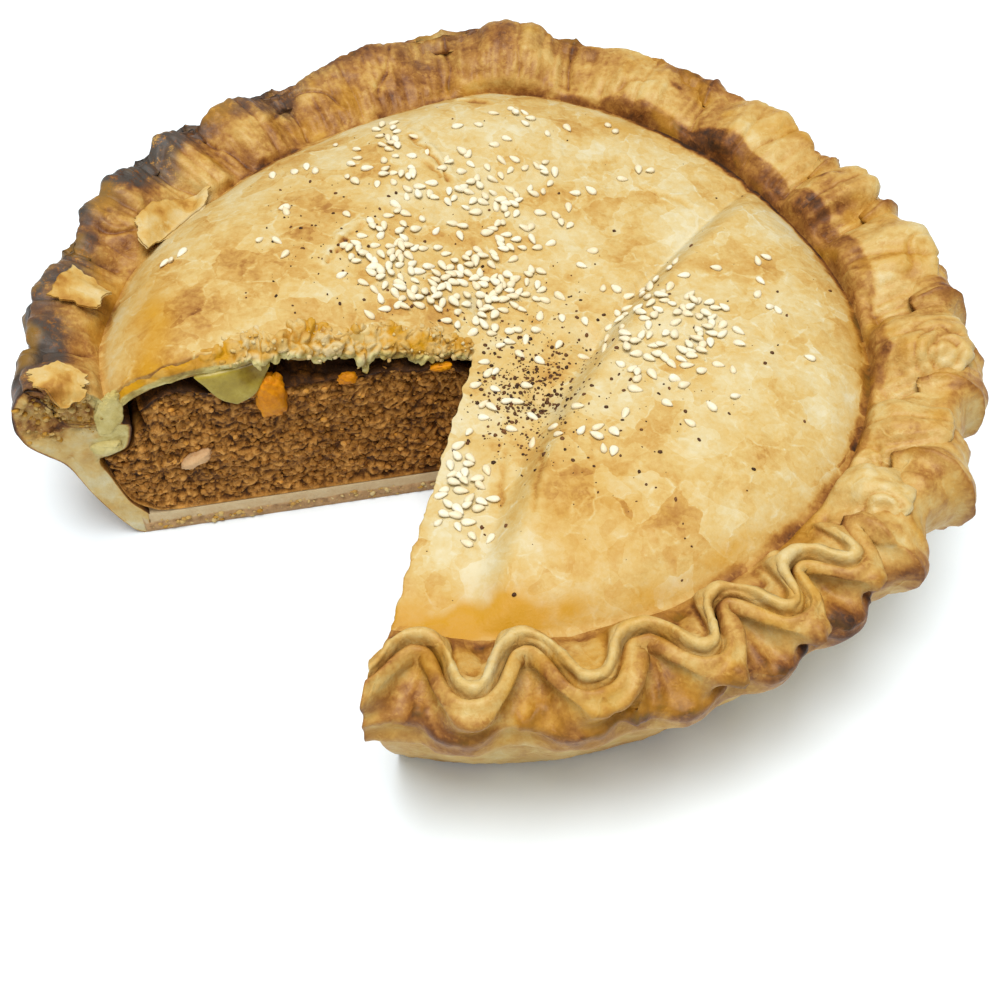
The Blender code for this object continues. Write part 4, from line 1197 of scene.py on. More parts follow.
def lid_points(rows, count):
    """Upper and lower grids of the lid, from the tip to just under the crimped edge."""
    angles = columns(count)
    nominal = np.linspace(0, GROOVE_NOMINAL, rows - LID_EDGE_ROWS)
    past_edge = GROOVE_NOMINAL + np.linspace(0.6, 3.6, LID_EDGE_ROWS)
    nominal = np.concatenate((nominal, past_edge))[:, None]
    radii = row_radii(nominal, angles)
    clean = smooth((nominal - TEAR_END) / 12)
    plan = ring(angles, radii, tear(nominal), ragged_tear(nominal, clean))
    along, aside = cut_frame(plan, RIGHT_CUT)
    uneven = 0.7 * rough(np.stack((along, along), -1), 3.5, 3, 74)
    uneven = uneven * np.exp(-np.abs(aside) / 1.5) * smooth(nominal / 8)
    plan = cut_out(lift(plan, 0.0), uneven, 0)[..., :2]
    fall = 0.25 * np.maximum(nominal - GROOVE_NOMINAL, 0.0) ** 1.6
    upper = lift(plan, lid_surface(plan[..., 0], plan[..., 1]) - fall)
    under = ring(angles[::SKIP], radii[:, ::SKIP], TEAR_UNDER * tear(nominal + 5))
    lower = lift(under, lid_height(under[..., 0], under[..., 1]) - LID_THICKNESS)
    return upper, lower


def dough_relief(points, side):
    """Cut dough: small lumps, and coarse crumbs high on the rim's left end."""
    radius = np.hypot(points[..., 0], points[..., 1])
    high = smooth((points[..., 2] - 38) / 6) * smooth((radius - 94) / 4) * (side != 0)
    bent = points + 1.5 * warp(points, 3.5, 2, 86)
    torn = 1.5 * chunks(bent, 4.2, 84) + 0.8 * chunks(bent, 1.8, 85) - 0.4
    return cut_out(points, 0.7 * rough(points, 2.4, 3, 81) + high * torn, side)


def base_relief(points, side):
    """Cut base: fine crumbs, rougher in its lower half."""
    low = 1 - smooth((points[..., 2] - 2.6) / 1.2)
    crumb = 0.9 * beads(points, 1.8, 82) - 0.3
    return cut_out(points, 0.2 * rough(points, 2.4, 3, 83) + low * crumb, side)


def crest_radius(angles):
    """Radius of the rolled rim's highest line, further out at the left, and how far left it is."""
    left = smooth((angles - 425) / 45)
    return rim_value(RIM_RIDGE, angles) - 1.0 + 2.2 * left, left


def rolled_rows(angles, inner, outer, low, high, shares, flat=0.0):
    """Rows of a quarter ellipse from (inner, low) up to (outer, high): shares of the quarter turn.

    Where `flat` is 1 the rows lie on the straight line between the two.
    """
    rows = []
    for share in shares:
        turn = math.radians(90 * share)
        across = (1 - math.cos(turn)) * (1 - flat) + share * flat
        up = math.sin(turn) * (1 - flat) + share * flat
        plan = ring(angles, inner + (outer - inner) * across)
        rows.append(lift(plan, low + (high - low) * up))
    return rows


def blended_rows(angles, standing, soft):
    """Rows that change from the standing layers in front to the rounded roll."""
    roll = rolled(angles)[:, None]
    return [one + (two - one) * roll for one, two in zip(standing, soft)]


def ridge_rows(angles, top, steps):
    """Rows beside the ridge: for each step its distance outside the ridge and height over it."""
    base = ring(angles, rim_section(angles)[0])
    return [lift(base + ridge_shift(angles, away), top + rise) for away, rise in steps]


def crimp_controls(angles):
    """Control rows of the inner layer of the crimped rim, from under the lid's edge to the seam."""
    ridge, top, slope, outer, _ = rim_section(angles)
    edge = groove_radius(angles)
    groove = np.minimum(edge, ridge - slope - 0.6)
    plan = ring(angles, edge)
    groove_height = lid_height(plan[..., 0], plan[..., 1])
    shoulder = ridge - SHOULDER_INSIDE
    shoulder_height = top - SHOULDER_BELOW
    foot = np.maximum(groove + FOOT_LEAST * (shoulder - groove), ridge - slope)
    share = (foot - groove) / (shoulder - groove)
    foot_height = groove_height + (shoulder_height - groove_height) * (FOOT_RISE + 0.5 * share)
    standing = [
        lift(ring(angles, foot), foot_height),
        lift(ring(angles, shoulder), shoulder_height),
    ]
    standing += ridge_rows(angles, top, ((-1.9, 0.3), (-0.75, -0.3), (-0.25, -1.6), (0.1, -2.6)))
    crest, left = crest_radius(angles)
    start_height = groove_height - 0.6
    soft = rolled_rows(
        angles, edge + 0.4, crest, start_height, top + 0.4, (0.3, 0.62, 0.95), 0.6 * left)
    soft += rolled_rows(angles, outer, crest + 1.4, 45.6, top + 0.55, (0.88, 0.72))
    tucked_in = lift(ring(angles, crest) - ring(angles, crest + 1.0), -1.4)
    soft.append(soft[-1] + tucked_in)
    first = [
        lift(ring(angles, groove - 1.5), groove_height - 3.2),
        lift(ring(angles, groove + 0.4), start_height),
    ]
    return np.stack(first + blended_rows(angles, standing, soft))


def crimp_relief(points, angles):
    """Relief of the inner layer: in front a bead that follows the crimp, and lumps inside it.

    The bead is a cosine of the distance from the crimp's curve.
    """
    x, y = points[..., 0], points[..., 1]
    away = ridge_away(x, y)
    clear = smooth((np.hypot(x, y) - groove_radius(angles) - 0.6) / 2.5)
    wander = 2.5 + 1.0 * rough(points, 9, 2, 66)
    bead = (0.8 + 0.4 * rough(points, 12, 2, 60)) * np.cos(2 * math.pi * (away + wander) / 5.6)
    bead = (bead + 0.25) * smooth((away + 6.4) / 1.5) * (1 - smooth((away + 0.7) / 0.5))
    packed = 1.5 * beads(np.stack((x, y), -1), 6.0, 67) - 0.9
    front = bead + smooth((-away - 5.6) / 1.6) * packed
    front = front + 0.6 * rough(points, 5.5, 3, 51) + 0.25 * rough(points, 2.0, 2, 52)
    roll = rolled(angles)
    return clear * ((1 - roll) * front + roll * rim_ends(angles) * roll_relief(points))


def crimp_grid(rows, count):
    """The inner layer of the crimped rim, with lumps and wrinkles, and its hidden underside."""
    angles = columns(count)
    upper = through(crimp_controls(angles), rows)
    upper = upper + grid_normals(upper) * crimp_relief(upper, angles)[..., None]
    below = angles[::SKIP]
    ridge = rim_section(below)[0]
    start = np.minimum(groove_radius(below) - 1.5, ridge - 8)
    underside = (
        (start, SEAM_LOW), (ridge - 4.0, SEAM_LOW + 0.6),
        (ridge - 0.85, SEAM_BEND), (ridge - 0.5, SEAM_BEND + 3),
    )
    low = np.stack([lift(ring(below, radius), tall) for radius, tall in underside])
    return upper, through(low, rows)


def wall_controls(angles):
    """Control rows of the bottom crust's outside, from its foot up over the rim to the seam."""
    ridge, top, _, outer, shelf = rim_section(angles)
    wave = outer - rim_value(RIM_OUT, angles)
    inward = smooth(-flute(angles) * 0.8)
    rows = [lift(ring(angles, WALL_FOOT), 0.0)]
    for radius, height in WALL_OUT:
        share = WALL_WAVE * height / WALL_OUT[-1][1]
        fuller = 2.2 * smooth((height - 4) / 26)
        rows.append(lift(ring(angles, radius + fuller + share * wave), height))
    rows.append(lift(ring(angles, outer - 0.7), 42.0))
    rows.append(lift(ring(angles, outer), 45.2))
    standing = [
        lift(ring(angles, outer - EDGE_ROUND), 0.6 * shelf + 0.4 * EDGE_HEIGHT),
        lift(ring(angles, ridge + 5.8), 0.5 * shelf + 0.5 * top - 2.4 * inward),
    ]
    standing += ridge_rows(angles, top, (
        (3.5, -1.4 - 1.8 * inward), (2.4, -0.3 - 0.4 * inward), (1.4, 0.1 - 0.2 * inward),
        (0.6, -0.5), (0.15, -1.8),
    ))
    crest, _ = crest_radius(angles)
    soft = rolled_rows(angles, outer, crest + 1.4, 45.6, top + 0.25, (0.25, 0.5, 0.70))
    for out, fall in ((2.8, 1.1), (1.0, 1.9), (-0.4, 2.6), (-1.6, 3.6)):
        soft.append(lift(ring(angles, crest + out), top - fall))
    return np.stack(rows + blended_rows(angles, standing, soft))


def wall_grid(rows, count):
    """The bottom crust's outside with its folds, and its hidden inside."""
    angles = columns(count)
    upper = through(wall_controls(angles), rows)
    x, y, height = np.moveaxis(upper, -1, 0)
    stretched = np.stack((pie_angle(x, y) * 1.95, 0.22 * height), -1)
    below_ridge = smooth((ridge_away(x, y) - 2.2) / 2.0)
    pinched = smooth(-flute(angles)) * smooth((height - 44) / 2)
    folded = crease_relief(upper) * smooth((height - 40) / 7)
    knobs = pinched * (2.0 * beads(upper, 6.5, 59) - 0.8)
    front = 0.9 * rough(upper, 9, 3, 55) + below_ridge * (folded + knobs)
    roll = rolled(angles)
    bump = ((1 - roll) * front + roll * roll_relief(upper)) * rim_ends(angles)
    bump = bump * (0.25 + 0.75 * smooth((height - 6) / 30))
    bump = bump + 0.45 * rough(stretched, 3.4, 3, 57) * smooth((height - 1) / 6)
    bump = bump + 0.8 * rough(upper, 2.6, 3, 58) * (1 - smooth(height / 5))
    upper = upper + grid_normals(upper) * bump[..., None]
    upper[..., 2] = np.maximum(upper[..., 2], 0.0)
    below = angles[::SKIP]
    ridge, top = rim_section(below)[:2]
    inside = WALL_IN + (
        (np.minimum(SEAM_START, ridge - 1.2), SEAM_LOW), (ridge - 0.6, SEAM_BEND),
        (ridge + 0.2, top - 3),
    )
    inside = np.stack([lift(ring(below, radius), tall) for radius, tall in inside])
    return upper, through(inside, rows)


def base_grid(rows, count):
    """The base of the bottom crust, inside the wall: two level discs with the slice missing."""
    angles = columns(count)
    radii = np.linspace(0, BASE_RADIUS, rows)[:, None]
    upper = lift(ring(angles, radii), FLOOR_TOP)
    lower = lift(ring(angles[::SKIP], radii), 0.05)
    return upper, lower


def rounded_edge(start, angles, steps):
    """Rows from a first row through rings of these radii and heights, without the first row."""
    rings = [lift(ring(angles, radius), tall) for radius, tall in steps]
    return through(np.stack([start] + rings), MEAT_SIDE_ROWS)[1:]


def filling_grid(rows):
    """The minced filling: upper and lower faces, with columns crowded near the left cut."""
    even = columns(MEAT_COLUMNS)
    share = np.linspace(1, 0, even.size)
    angles = even[-1] - (even[-1] - even[0]) * (0.03 * share + 0.97 * share**3.2)
    radii = np.linspace(0, MEAT_RADIUS, rows)[:, None]
    plan = ring(angles, row_radii(radii, angles))
    crumble = 1.1 * (beads(plan, 3.0, 33) - 0.5) * smooth(radii / 6)
    upper = lift(plan, meat_height(plan) + crumble)
    upper = np.concatenate((upper, rounded_edge(upper[-1], angles, MEAT_SHOULDER)))
    below = angles[::SKIP]
    lower = lift(ring(below, radii), FLOOR_TOP + REST_GAP)
    return upper, np.concatenate((lower, rounded_edge(lower[-1], below, MEAT_HEEL)))


def mince_push(points, side):
    """How far the mince stands out of its cut face: packed grains of three sizes on soft lumps."""
    direction = RIGHT_CUT if side == 0 else LEFT_CUT
    along, _ = cut_frame(points[..., :2], direction)
    spot = np.stack((along, points[..., 2]), -1) + 100.0 * (side == 0)
    spot = spot + 0.9 * warp(spot, 2.2, 2, 91)
    return (
        1.2 * rough(spot, 9, 3, 37)
        + 0.55 * chunks(spot * np.array((0.8, 1.0)), 5.2, 34)
        + 0.4 * chunks(spot * np.array((0.85, 1.1)), 2.3, 35)
        + 0.3 * beads(spot, 1.05, 36)
        + 0.8 * rough(spot, 1.5, 3, 38)
        - 1.1
    )


def mince_relief(points, side):
    """Cut faces of the mince."""
    return cut_out(points, mince_push(points, side), side)


def torn_edge_grids(rows, across):
    """The lid's torn edge at the left cut: from the top face over the broken dough to below it."""
    nominal = np.linspace(0.6, 92.5, rows)
    end = np.array((rim_angle(LEFT_CUT),))
    clean = smooth((nominal - 60) / 12)
    edge = ring(end, row_radii(nominal, end)[:, None])[:, 0]
    set_back = tear(nominal) + ragged_tear(nominal, clean) + 1.8
    back = toward(BEHIND_LEFT_CUT)
    upper_edge = edge + set_back[:, None] * back
    lower_edge = edge + (TEAR_UNDER * tear(nominal + 5))[:, None] * back
    z_top = lid_surface(upper_edge[:, 0], upper_edge[:, 1])
    droop = 2.4 * rough(np.stack((nominal, nominal), -1), 5, 3, 73) * (1 - 0.8 * clean)
    drips = sum(tall * bell((nominal - where) / wide) for where, wide, tall in DRIPS)
    z_low = lid_height(lower_edge[:, 0], lower_edge[:, 1]) - LID_THICKNESS - droop - drips
    v = np.linspace(0, 1, across)[None, :]
    crumbly_share, droop_share = (1 - 0.5 * clean)[:, None], (0.12 * v + 0.88 * v**1.7)
    flat = upper_edge[:, None] + (lower_edge - upper_edge)[:, None] * smooth(v * 1.15)[..., None]
    flat = flat - (0.9 * np.sin(math.pi * v) * crumbly_share)[..., None] * back
    height = z_top[:, None] - 0.5 + 0.75 * smooth(v / 0.2) + (z_low - z_top)[:, None] * droop_share
    face = lift(flat, height)
    bent = face + 0.9 * warp(face, 3.5, 2, 78)
    crumbly = (1 - 0.3 * smooth((v - 0.7) / 0.2)) * (1 - 0.85 * clean)[:, None] * smooth(v / 0.08)
    crumb = 0.85 * chunks(bent, 5.5, 75) + 0.7 * chunks(bent, 2.6, 76)
    crumb = crumb + 0.9 * rough(face, 1.8, 2, 79) + 0.5
    push = crumbly * crumb + 0.3 * rough(face, 2.5, 2, 77)
    face = face + grid_normals(face) * push[..., None]
    rear = lift(flat + 2.6 * back, height - 0.6)
    rear[:, 0, 2] -= 1.6
    rear[:, -1, 2] += 0.8
    shape = face.shape[:2]
    return face, rear, np.broadcast_to(v, shape), np.broadcast_to(clean[:, None], shape)


def flake_grids(flake, roll):
    """A thin sheet with a torn outline that lies on the rim, between its outer and inner edge."""
    outer, inner, (outer_lift, inner_lift, fall), seed = flake[:4]
    u = np.linspace(0, 1, FLAKE_ACROSS)[None, :]
    v = np.linspace(0, 1, FLAKE_ROWS)[:, None]
    sides = []
    for corners in (outer, inner):
        corners = np.array(corners)
        stops = np.linspace(0, 1, len(corners))
        sides.append(np.stack([np.interp(u[0], stops, corners[:, axis]) for axis in range(2)], -1))
    across = unit(sides[1] - sides[0])
    torn = [1.2 * rough(side, 2.6, 3, seed + step) for step, side in enumerate(sides)]
    sides = [side + amount[:, None] * across for side, amount in zip(sides, torn)]
    plan = sides[0][None] * (1 - v)[..., None] + sides[1][None] * v[..., None]
    along = unit(np.gradient(plan, axis=1))
    down = np.broadcast_to(v * 14, plan.shape[:2])
    ends = 0.8 * lumps(np.stack((down, down), -1), 2.0, seed + 5)
    plan = plan + along * (ends * np.abs(2 * u - 1) ** 6)[..., None]
    coarse = plan[::6, ::8].reshape(-1, 2)
    nearest = np.min(np.linalg.norm(roll[:, None, :2] - coarse[None], axis=-1), axis=1)
    close = roll[nearest < 6]
    away = np.linalg.norm(plan[:, :, None] - close[None, None, :, :2], axis=-1)
    height = np.max(np.where(away < 2.4, close[:, 2], 0), axis=-1)
    x, y = plan[..., 0], plan[..., 1]
    inside = np.hypot(x, y) < groove_radius(pie_angle(x, y)) + 0.5
    height = np.maximum(height, np.where(inside, lid_height(x, y), 40))
    height = np.maximum(height, height[:6].max(axis=0) - fall * v * v)
    for _ in range(30):
        padded = np.pad(height, 1, mode="edge")
        beside = padded[1:-1, :-2] + padded[1:-1, 2:]
        height = (padded[:-2, 1:-1] + padded[2:, 1:-1] + beside + height) / 5
    height = height + 0.3 + outer_lift * (1 - v) ** 2.5 + inner_lift * v**2.5
    front = lift(plan, height + 0.45 * rough(lift(plan, 0.0), 5, 3, seed + 9))
    if grid_normals(front)[..., 2].mean() < 0:
        front = front[:, ::-1]
    return front, front - FLAKE_THICKNESS * grid_normals(front)


# ---------------------------------------------------------------- seeds and lumps


def keep_on_lid(spots, edge_clear=5.0):
    """True where a seed or speck may lie: on the lid and clear of both cuts."""
    x, y = spots.T
    along, aside = cut_frame(spots)
    right_along, right_aside = cut_frame(spots, RIGHT_CUT)
    off_left, off_right = -aside > 7.5, right_aside > 1.6
    clear_left = (along < 0) | off_left | ((right_along > 0) & off_right)
    clear_right = (right_along < 0) | off_right | ((along > 0) & off_left)
    on_lid = np.hypot(x, y) < groove_radius(pie_angle(x, y)) - edge_clear
    return clear_left & clear_right & on_lid


def seed_places():
    """Plan places of the seeds: random draws in each patch, none too near another."""
    draw = np.random.default_rng(11)
    places = np.empty((0, 2))
    for x, y, spread_x, spread_y, count in SEED_PATCHES:
        tries = draw.normal((x, y), (spread_x, spread_y), (60 * count, 2))
        wanted = len(places) + count
        for spot in tries[keep_on_lid(tries)]:
            if len(places) == wanted:
                break
            if not len(places) or np.min(np.hypot(*(places - spot).T)) > SEED_APART:
                places = np.concatenate((places, spot[None]))
    return places


def lid_normals(spots, step=1.2):
    """Unit normals of the lid at plan places, from steps to both sides."""
    x, y = spots.T
    slope_x = (lid_height(x + step, y) - lid_height(x - step, y)) / (2 * step)
    slope_y = (lid_height(x, y + step) - lid_height(x, y - step)) / (2 * step)
    return unit(np.stack((-slope_x, -slope_y, np.ones_like(x)), -1))


def seed_shape(around=8, along=7):
    """A teardrop of unit length, width and height: rings whose width swells towards one end."""
    t = np.linspace(0, 1, along)[:, None]
    width = np.sin(math.pi * t**0.72) ** 0.8 * 0.5
    angle = np.linspace(0, 2 * math.pi, around + 1)[None, :]
    return closed(np.stack((t - 0.5 + 0 * angle, width * np.cos(angle), width * np.sin(angle)), -1))


def ball(rings, around):
    """Grid of points on a sphere of unit radius: rings from pole to pole."""
    polar = np.linspace(0, math.pi, rings + 1)[:, None]
    angle = np.linspace(0, 2 * math.pi, around + 1)[None, :]
    across = np.sin(polar)
    return np.stack((across * np.cos(angle), across * np.sin(angle), np.cos(polar) + 0 * angle), -1)


def crumb_shape(seed):
    """A small lumpy ball of unit radius: a sphere with noise on its radius."""
    points = ball(5, 7)
    return closed(points * (1 + 0.32 * lumps(points, 0.8, seed))[..., None])


def mixed_scatter(draw, places, normals, low, high, flat=(0.7, 0.45), skew=1.0):
    """Lumps of several kinds at places, of sizes between low and high.

    `flat` gives the least width and height as shares of the length. With a skew over 1 the small
    ones are more common. Returns the mesh, and a random number of each lump for its points.
    """
    points, triangles, numbers = [], [], []
    count = 0
    for kind in range(CRUMB_KINDS):
        mine = np.arange(kind, len(places), CRUMB_KINDS)
        shape, faces = crumb_shape(kind + 3)
        size = (low + (high - low) * draw.uniform(0, 1, len(mine))[:, None] ** skew) * 0.5
        width = draw.uniform(flat[0], 1, len(mine))
        tall = draw.uniform(flat[1], 0.9, len(mine))
        turns = turned_to(normals[mine], draw.uniform(0, 2 * math.pi, len(mine)))
        size = size * np.stack((np.ones(len(mine)), width, tall), -1)
        made, ends = scatter(shape, faces, places[mine], turns, size)
        points.append(made)
        triangles.append(ends + count)
        numbers.append(np.repeat(draw.uniform(0, 1, len(mine)), len(shape)))
        count += len(made)
    return (np.concatenate(points), np.concatenate(triangles)), np.concatenate(numbers)


def cut_lump(lump, lean=0.0):
    """A lumpy rounded block: a sphere pushed towards a cube, with noise, at the left cut.

    It climbs by `lean` mm for each mm along the cut.
    """
    along, height, half_along, half_out, half_up = lump
    block = ball(24, 36)
    block = np.sign(block) * np.abs(block) ** 0.7
    spot = block * 3 + along
    block = block * (1 + 0.16 * rough(spot, 2.2, 3, 13) + 0.10 * chunks(spot, 1.5, 14))[..., None]
    run, out, up = np.moveaxis(block, -1, 0)
    height = height + half_up * up + lean * half_along * run
    block = cut_point(along + half_along * run, LUMP_OUT + half_out * out, height)
    points, triangles = closed(block)
    one, two, three = (points[triangles] - points.mean(0)).transpose(1, 0, 2)
    if np.sum(np.cross(one, two) * three) < 0:
        triangles = triangles[:, ::-1]
    return points, triangles


def drape_grids(rows, across):
    """The melted cheese: a curtain from the lid's torn edge, narrowing to a blunt point."""
    height, left, right, out = through(DRAPE[:, None, :], rows)[:, 0].T[..., None]
    u = np.linspace(0, 1, across)[None, :]
    along = left + (right - left) * u
    height = height - 0.5 * np.sin(math.pi * u) * np.linspace(0, 1, rows)[:, None]
    plan = cut_point(along, 0.0, height)
    lid = lid_height(plan[..., 0], plan[..., 1])
    height = np.minimum(height, lid - 2.6)
    tucked = -3.6 * smooth((height - lid + 5.0) / 1.6)
    edge = 0.5 * np.sin(math.pi * u) ** 0.5 - 0.5
    hollow = -0.9 * bell((along - DRAPE_HOLLOW) / 3.0) * smooth((height - 50) / 4)
    front = cut_point(along, out + edge + hollow + tucked, height)
    front = front + 0.35 * rough(front, 5, 2, 98)[..., None] * np.array((0.2, -1, 0.0))
    return front, cut_point(along, out - 1.3 + tucked, height)


# ---------------------------------------------------------------- operators

# The camera fitted to the photograph: distance in mm, how far up it looks down from and its
# small turns in radians, its focal length and the picture's width in pixels, the sensor in mm
CAMERA_DISTANCE, CAMERA_UP = 400.05, 0.86271
CAMERA_YAW, CAMERA_PITCH, CAMERA_ROLL = -0.0050676, -0.0359720, 0.0059972
FOCAL_PIXELS, PICTURE_PIXELS, SENSOR = 1454.1, 1000, 36
# Lights: name, place and size in metres, power in watts
LIGHTS = (
    ("key light", (-0.05, -0.16, 1.20), 0.75, 16.2),
    ("front light", (-0.9, -1.6, 1.4), 2.2, 2.5),
)
SKY_COLOUR, SKY_STRENGTH = (0.95, 0.99, 1.0, 1.0), 0.52
FLOOR_REACH = 6.0
CRUMBS = 130  # how many crumbs are drawn for each place that has them
LEFT_GRAINS, RIGHT_GRAINS = 1300, 800


class PieLooks(bpy.types.PropertyGroup):
    """Sizes and colours that a user would change."""

    seed_colour: bpy.props.FloatVectorProperty(
        name="Seeds", description="Colour of the sesame seeds", subtype="COLOR", size=3,
        min=0, max=1, default=srgb(248, 234, 198, 1.30))
    cheddar_colour: bpy.props.FloatVectorProperty(
        name="Cheddar", description="Colour of the cheddar pieces", subtype="COLOR", size=3,
        min=0, max=1, default=shaded(210, 130, 0))
    floor_colour: bpy.props.FloatVectorProperty(
        name="Floor", description="Colour of the floor", subtype="COLOR", size=3,
        min=0, max=1, default=(0.88, 0.94, 0.98))
    seed_length: bpy.props.FloatProperty(
        name="Seed length", description="Length of a sesame seed", unit="LENGTH",
        default=SEED_LENGTH * MM, min=0.001, max=0.006)


def looks():
    """The user's sizes and colours."""
    return bpy.context.scene.pie_looks


class PIE_OT_stage(bpy.types.Operator):
    """Floor, studio light and the camera of the photograph"""

    bl_idname = "pie.stage"
    bl_label = "Stage"

    def execute(self, context):
        scene = context.scene
        scene.view_settings.view_transform = "Standard"
        self.add_floor(scene)
        self.add_camera(scene)
        self.add_lights(scene)
        return {"FINISHED"}

    def add_floor(self, scene):
        """A wide level floor under the pie."""
        mesh = bpy.data.meshes.new("floor")
        corners = [
            (FLOOR_REACH * x, FLOOR_REACH * y, 0) for x, y in ((-1, -1), (1, -1), (1, 1), (-1, 1))
        ]
        mesh.from_pydata(corners, [], [(0, 1, 2, 3)])
        floor = bpy.data.objects.new("floor", mesh)
        material = bpy.data.materials.new("floor")
        material.use_nodes = True
        shader = material.node_tree.nodes["Principled BSDF"]
        shader.inputs["Base Color"].default_value = (*looks().floor_colour, 1.0)
        shader.inputs["Roughness"].default_value = 0.7
        shader.inputs["Specular IOR Level"].default_value = 0.2
        mesh.materials.append(material)
        scene.collection.objects.link(floor)

    def add_camera(self, scene):
        """The camera fitted to the photograph: 400 mm away, 49.4 degrees up, slightly turned."""
        away, tall = math.cos(CAMERA_UP), math.sin(CAMERA_UP)
        place = Vector((AXIS[0], AXIS[1] - CAMERA_DISTANCE * away, CAMERA_DISTANCE * tall))
        forward, right = Vector((0, away, -tall)), Vector((1, 0, 0))
        up = right.cross(forward)
        turn = Matrix.Rotation(CAMERA_YAW, 3, up)
        forward, right = turn @ forward, turn @ right
        turn = Matrix.Rotation(CAMERA_PITCH, 3, right)
        forward, up = turn @ forward, turn @ up
        turn = Matrix.Rotation(CAMERA_ROLL, 3, forward)
        right, up = turn @ right, turn @ up
        data = bpy.data.cameras.new("camera")
        data.sensor_width = SENSOR
        data.lens = FOCAL_PIXELS * SENSOR / PICTURE_PIXELS
        data.clip_start = 0.01
        camera = bpy.data.objects.new("camera", data)
        turned = Matrix((right, up, -forward)).transposed().to_4x4()
        camera.matrix_world = Matrix.Translation(place * MM) @ turned
        scene.collection.objects.link(camera)
        scene.camera = camera

    def add_lights(self, scene):
        """A bright even sky, a large soft light above, a little to the front, and a weak one from
        the front.
        """
        world = bpy.data.worlds.new("studio")
        world.use_nodes = True
        background = world.node_tree.nodes["Background"]
        background.inputs["Color"].default_value = SKY_COLOUR
        background.inputs["Strength"].default_value = SKY_STRENGTH
        scene.world = world
        for name, place, size, power in LIGHTS:
            data = bpy.data.lights.new(name, "AREA")
            data.size = size
            data.energy = power
            lamp = bpy.data.objects.new(name, data)
            lamp.location = place
            lamp.rotation_euler = Vector(place).to_track_quat("Z", "Y").to_euler()
            scene.collection.objects.link(lamp)


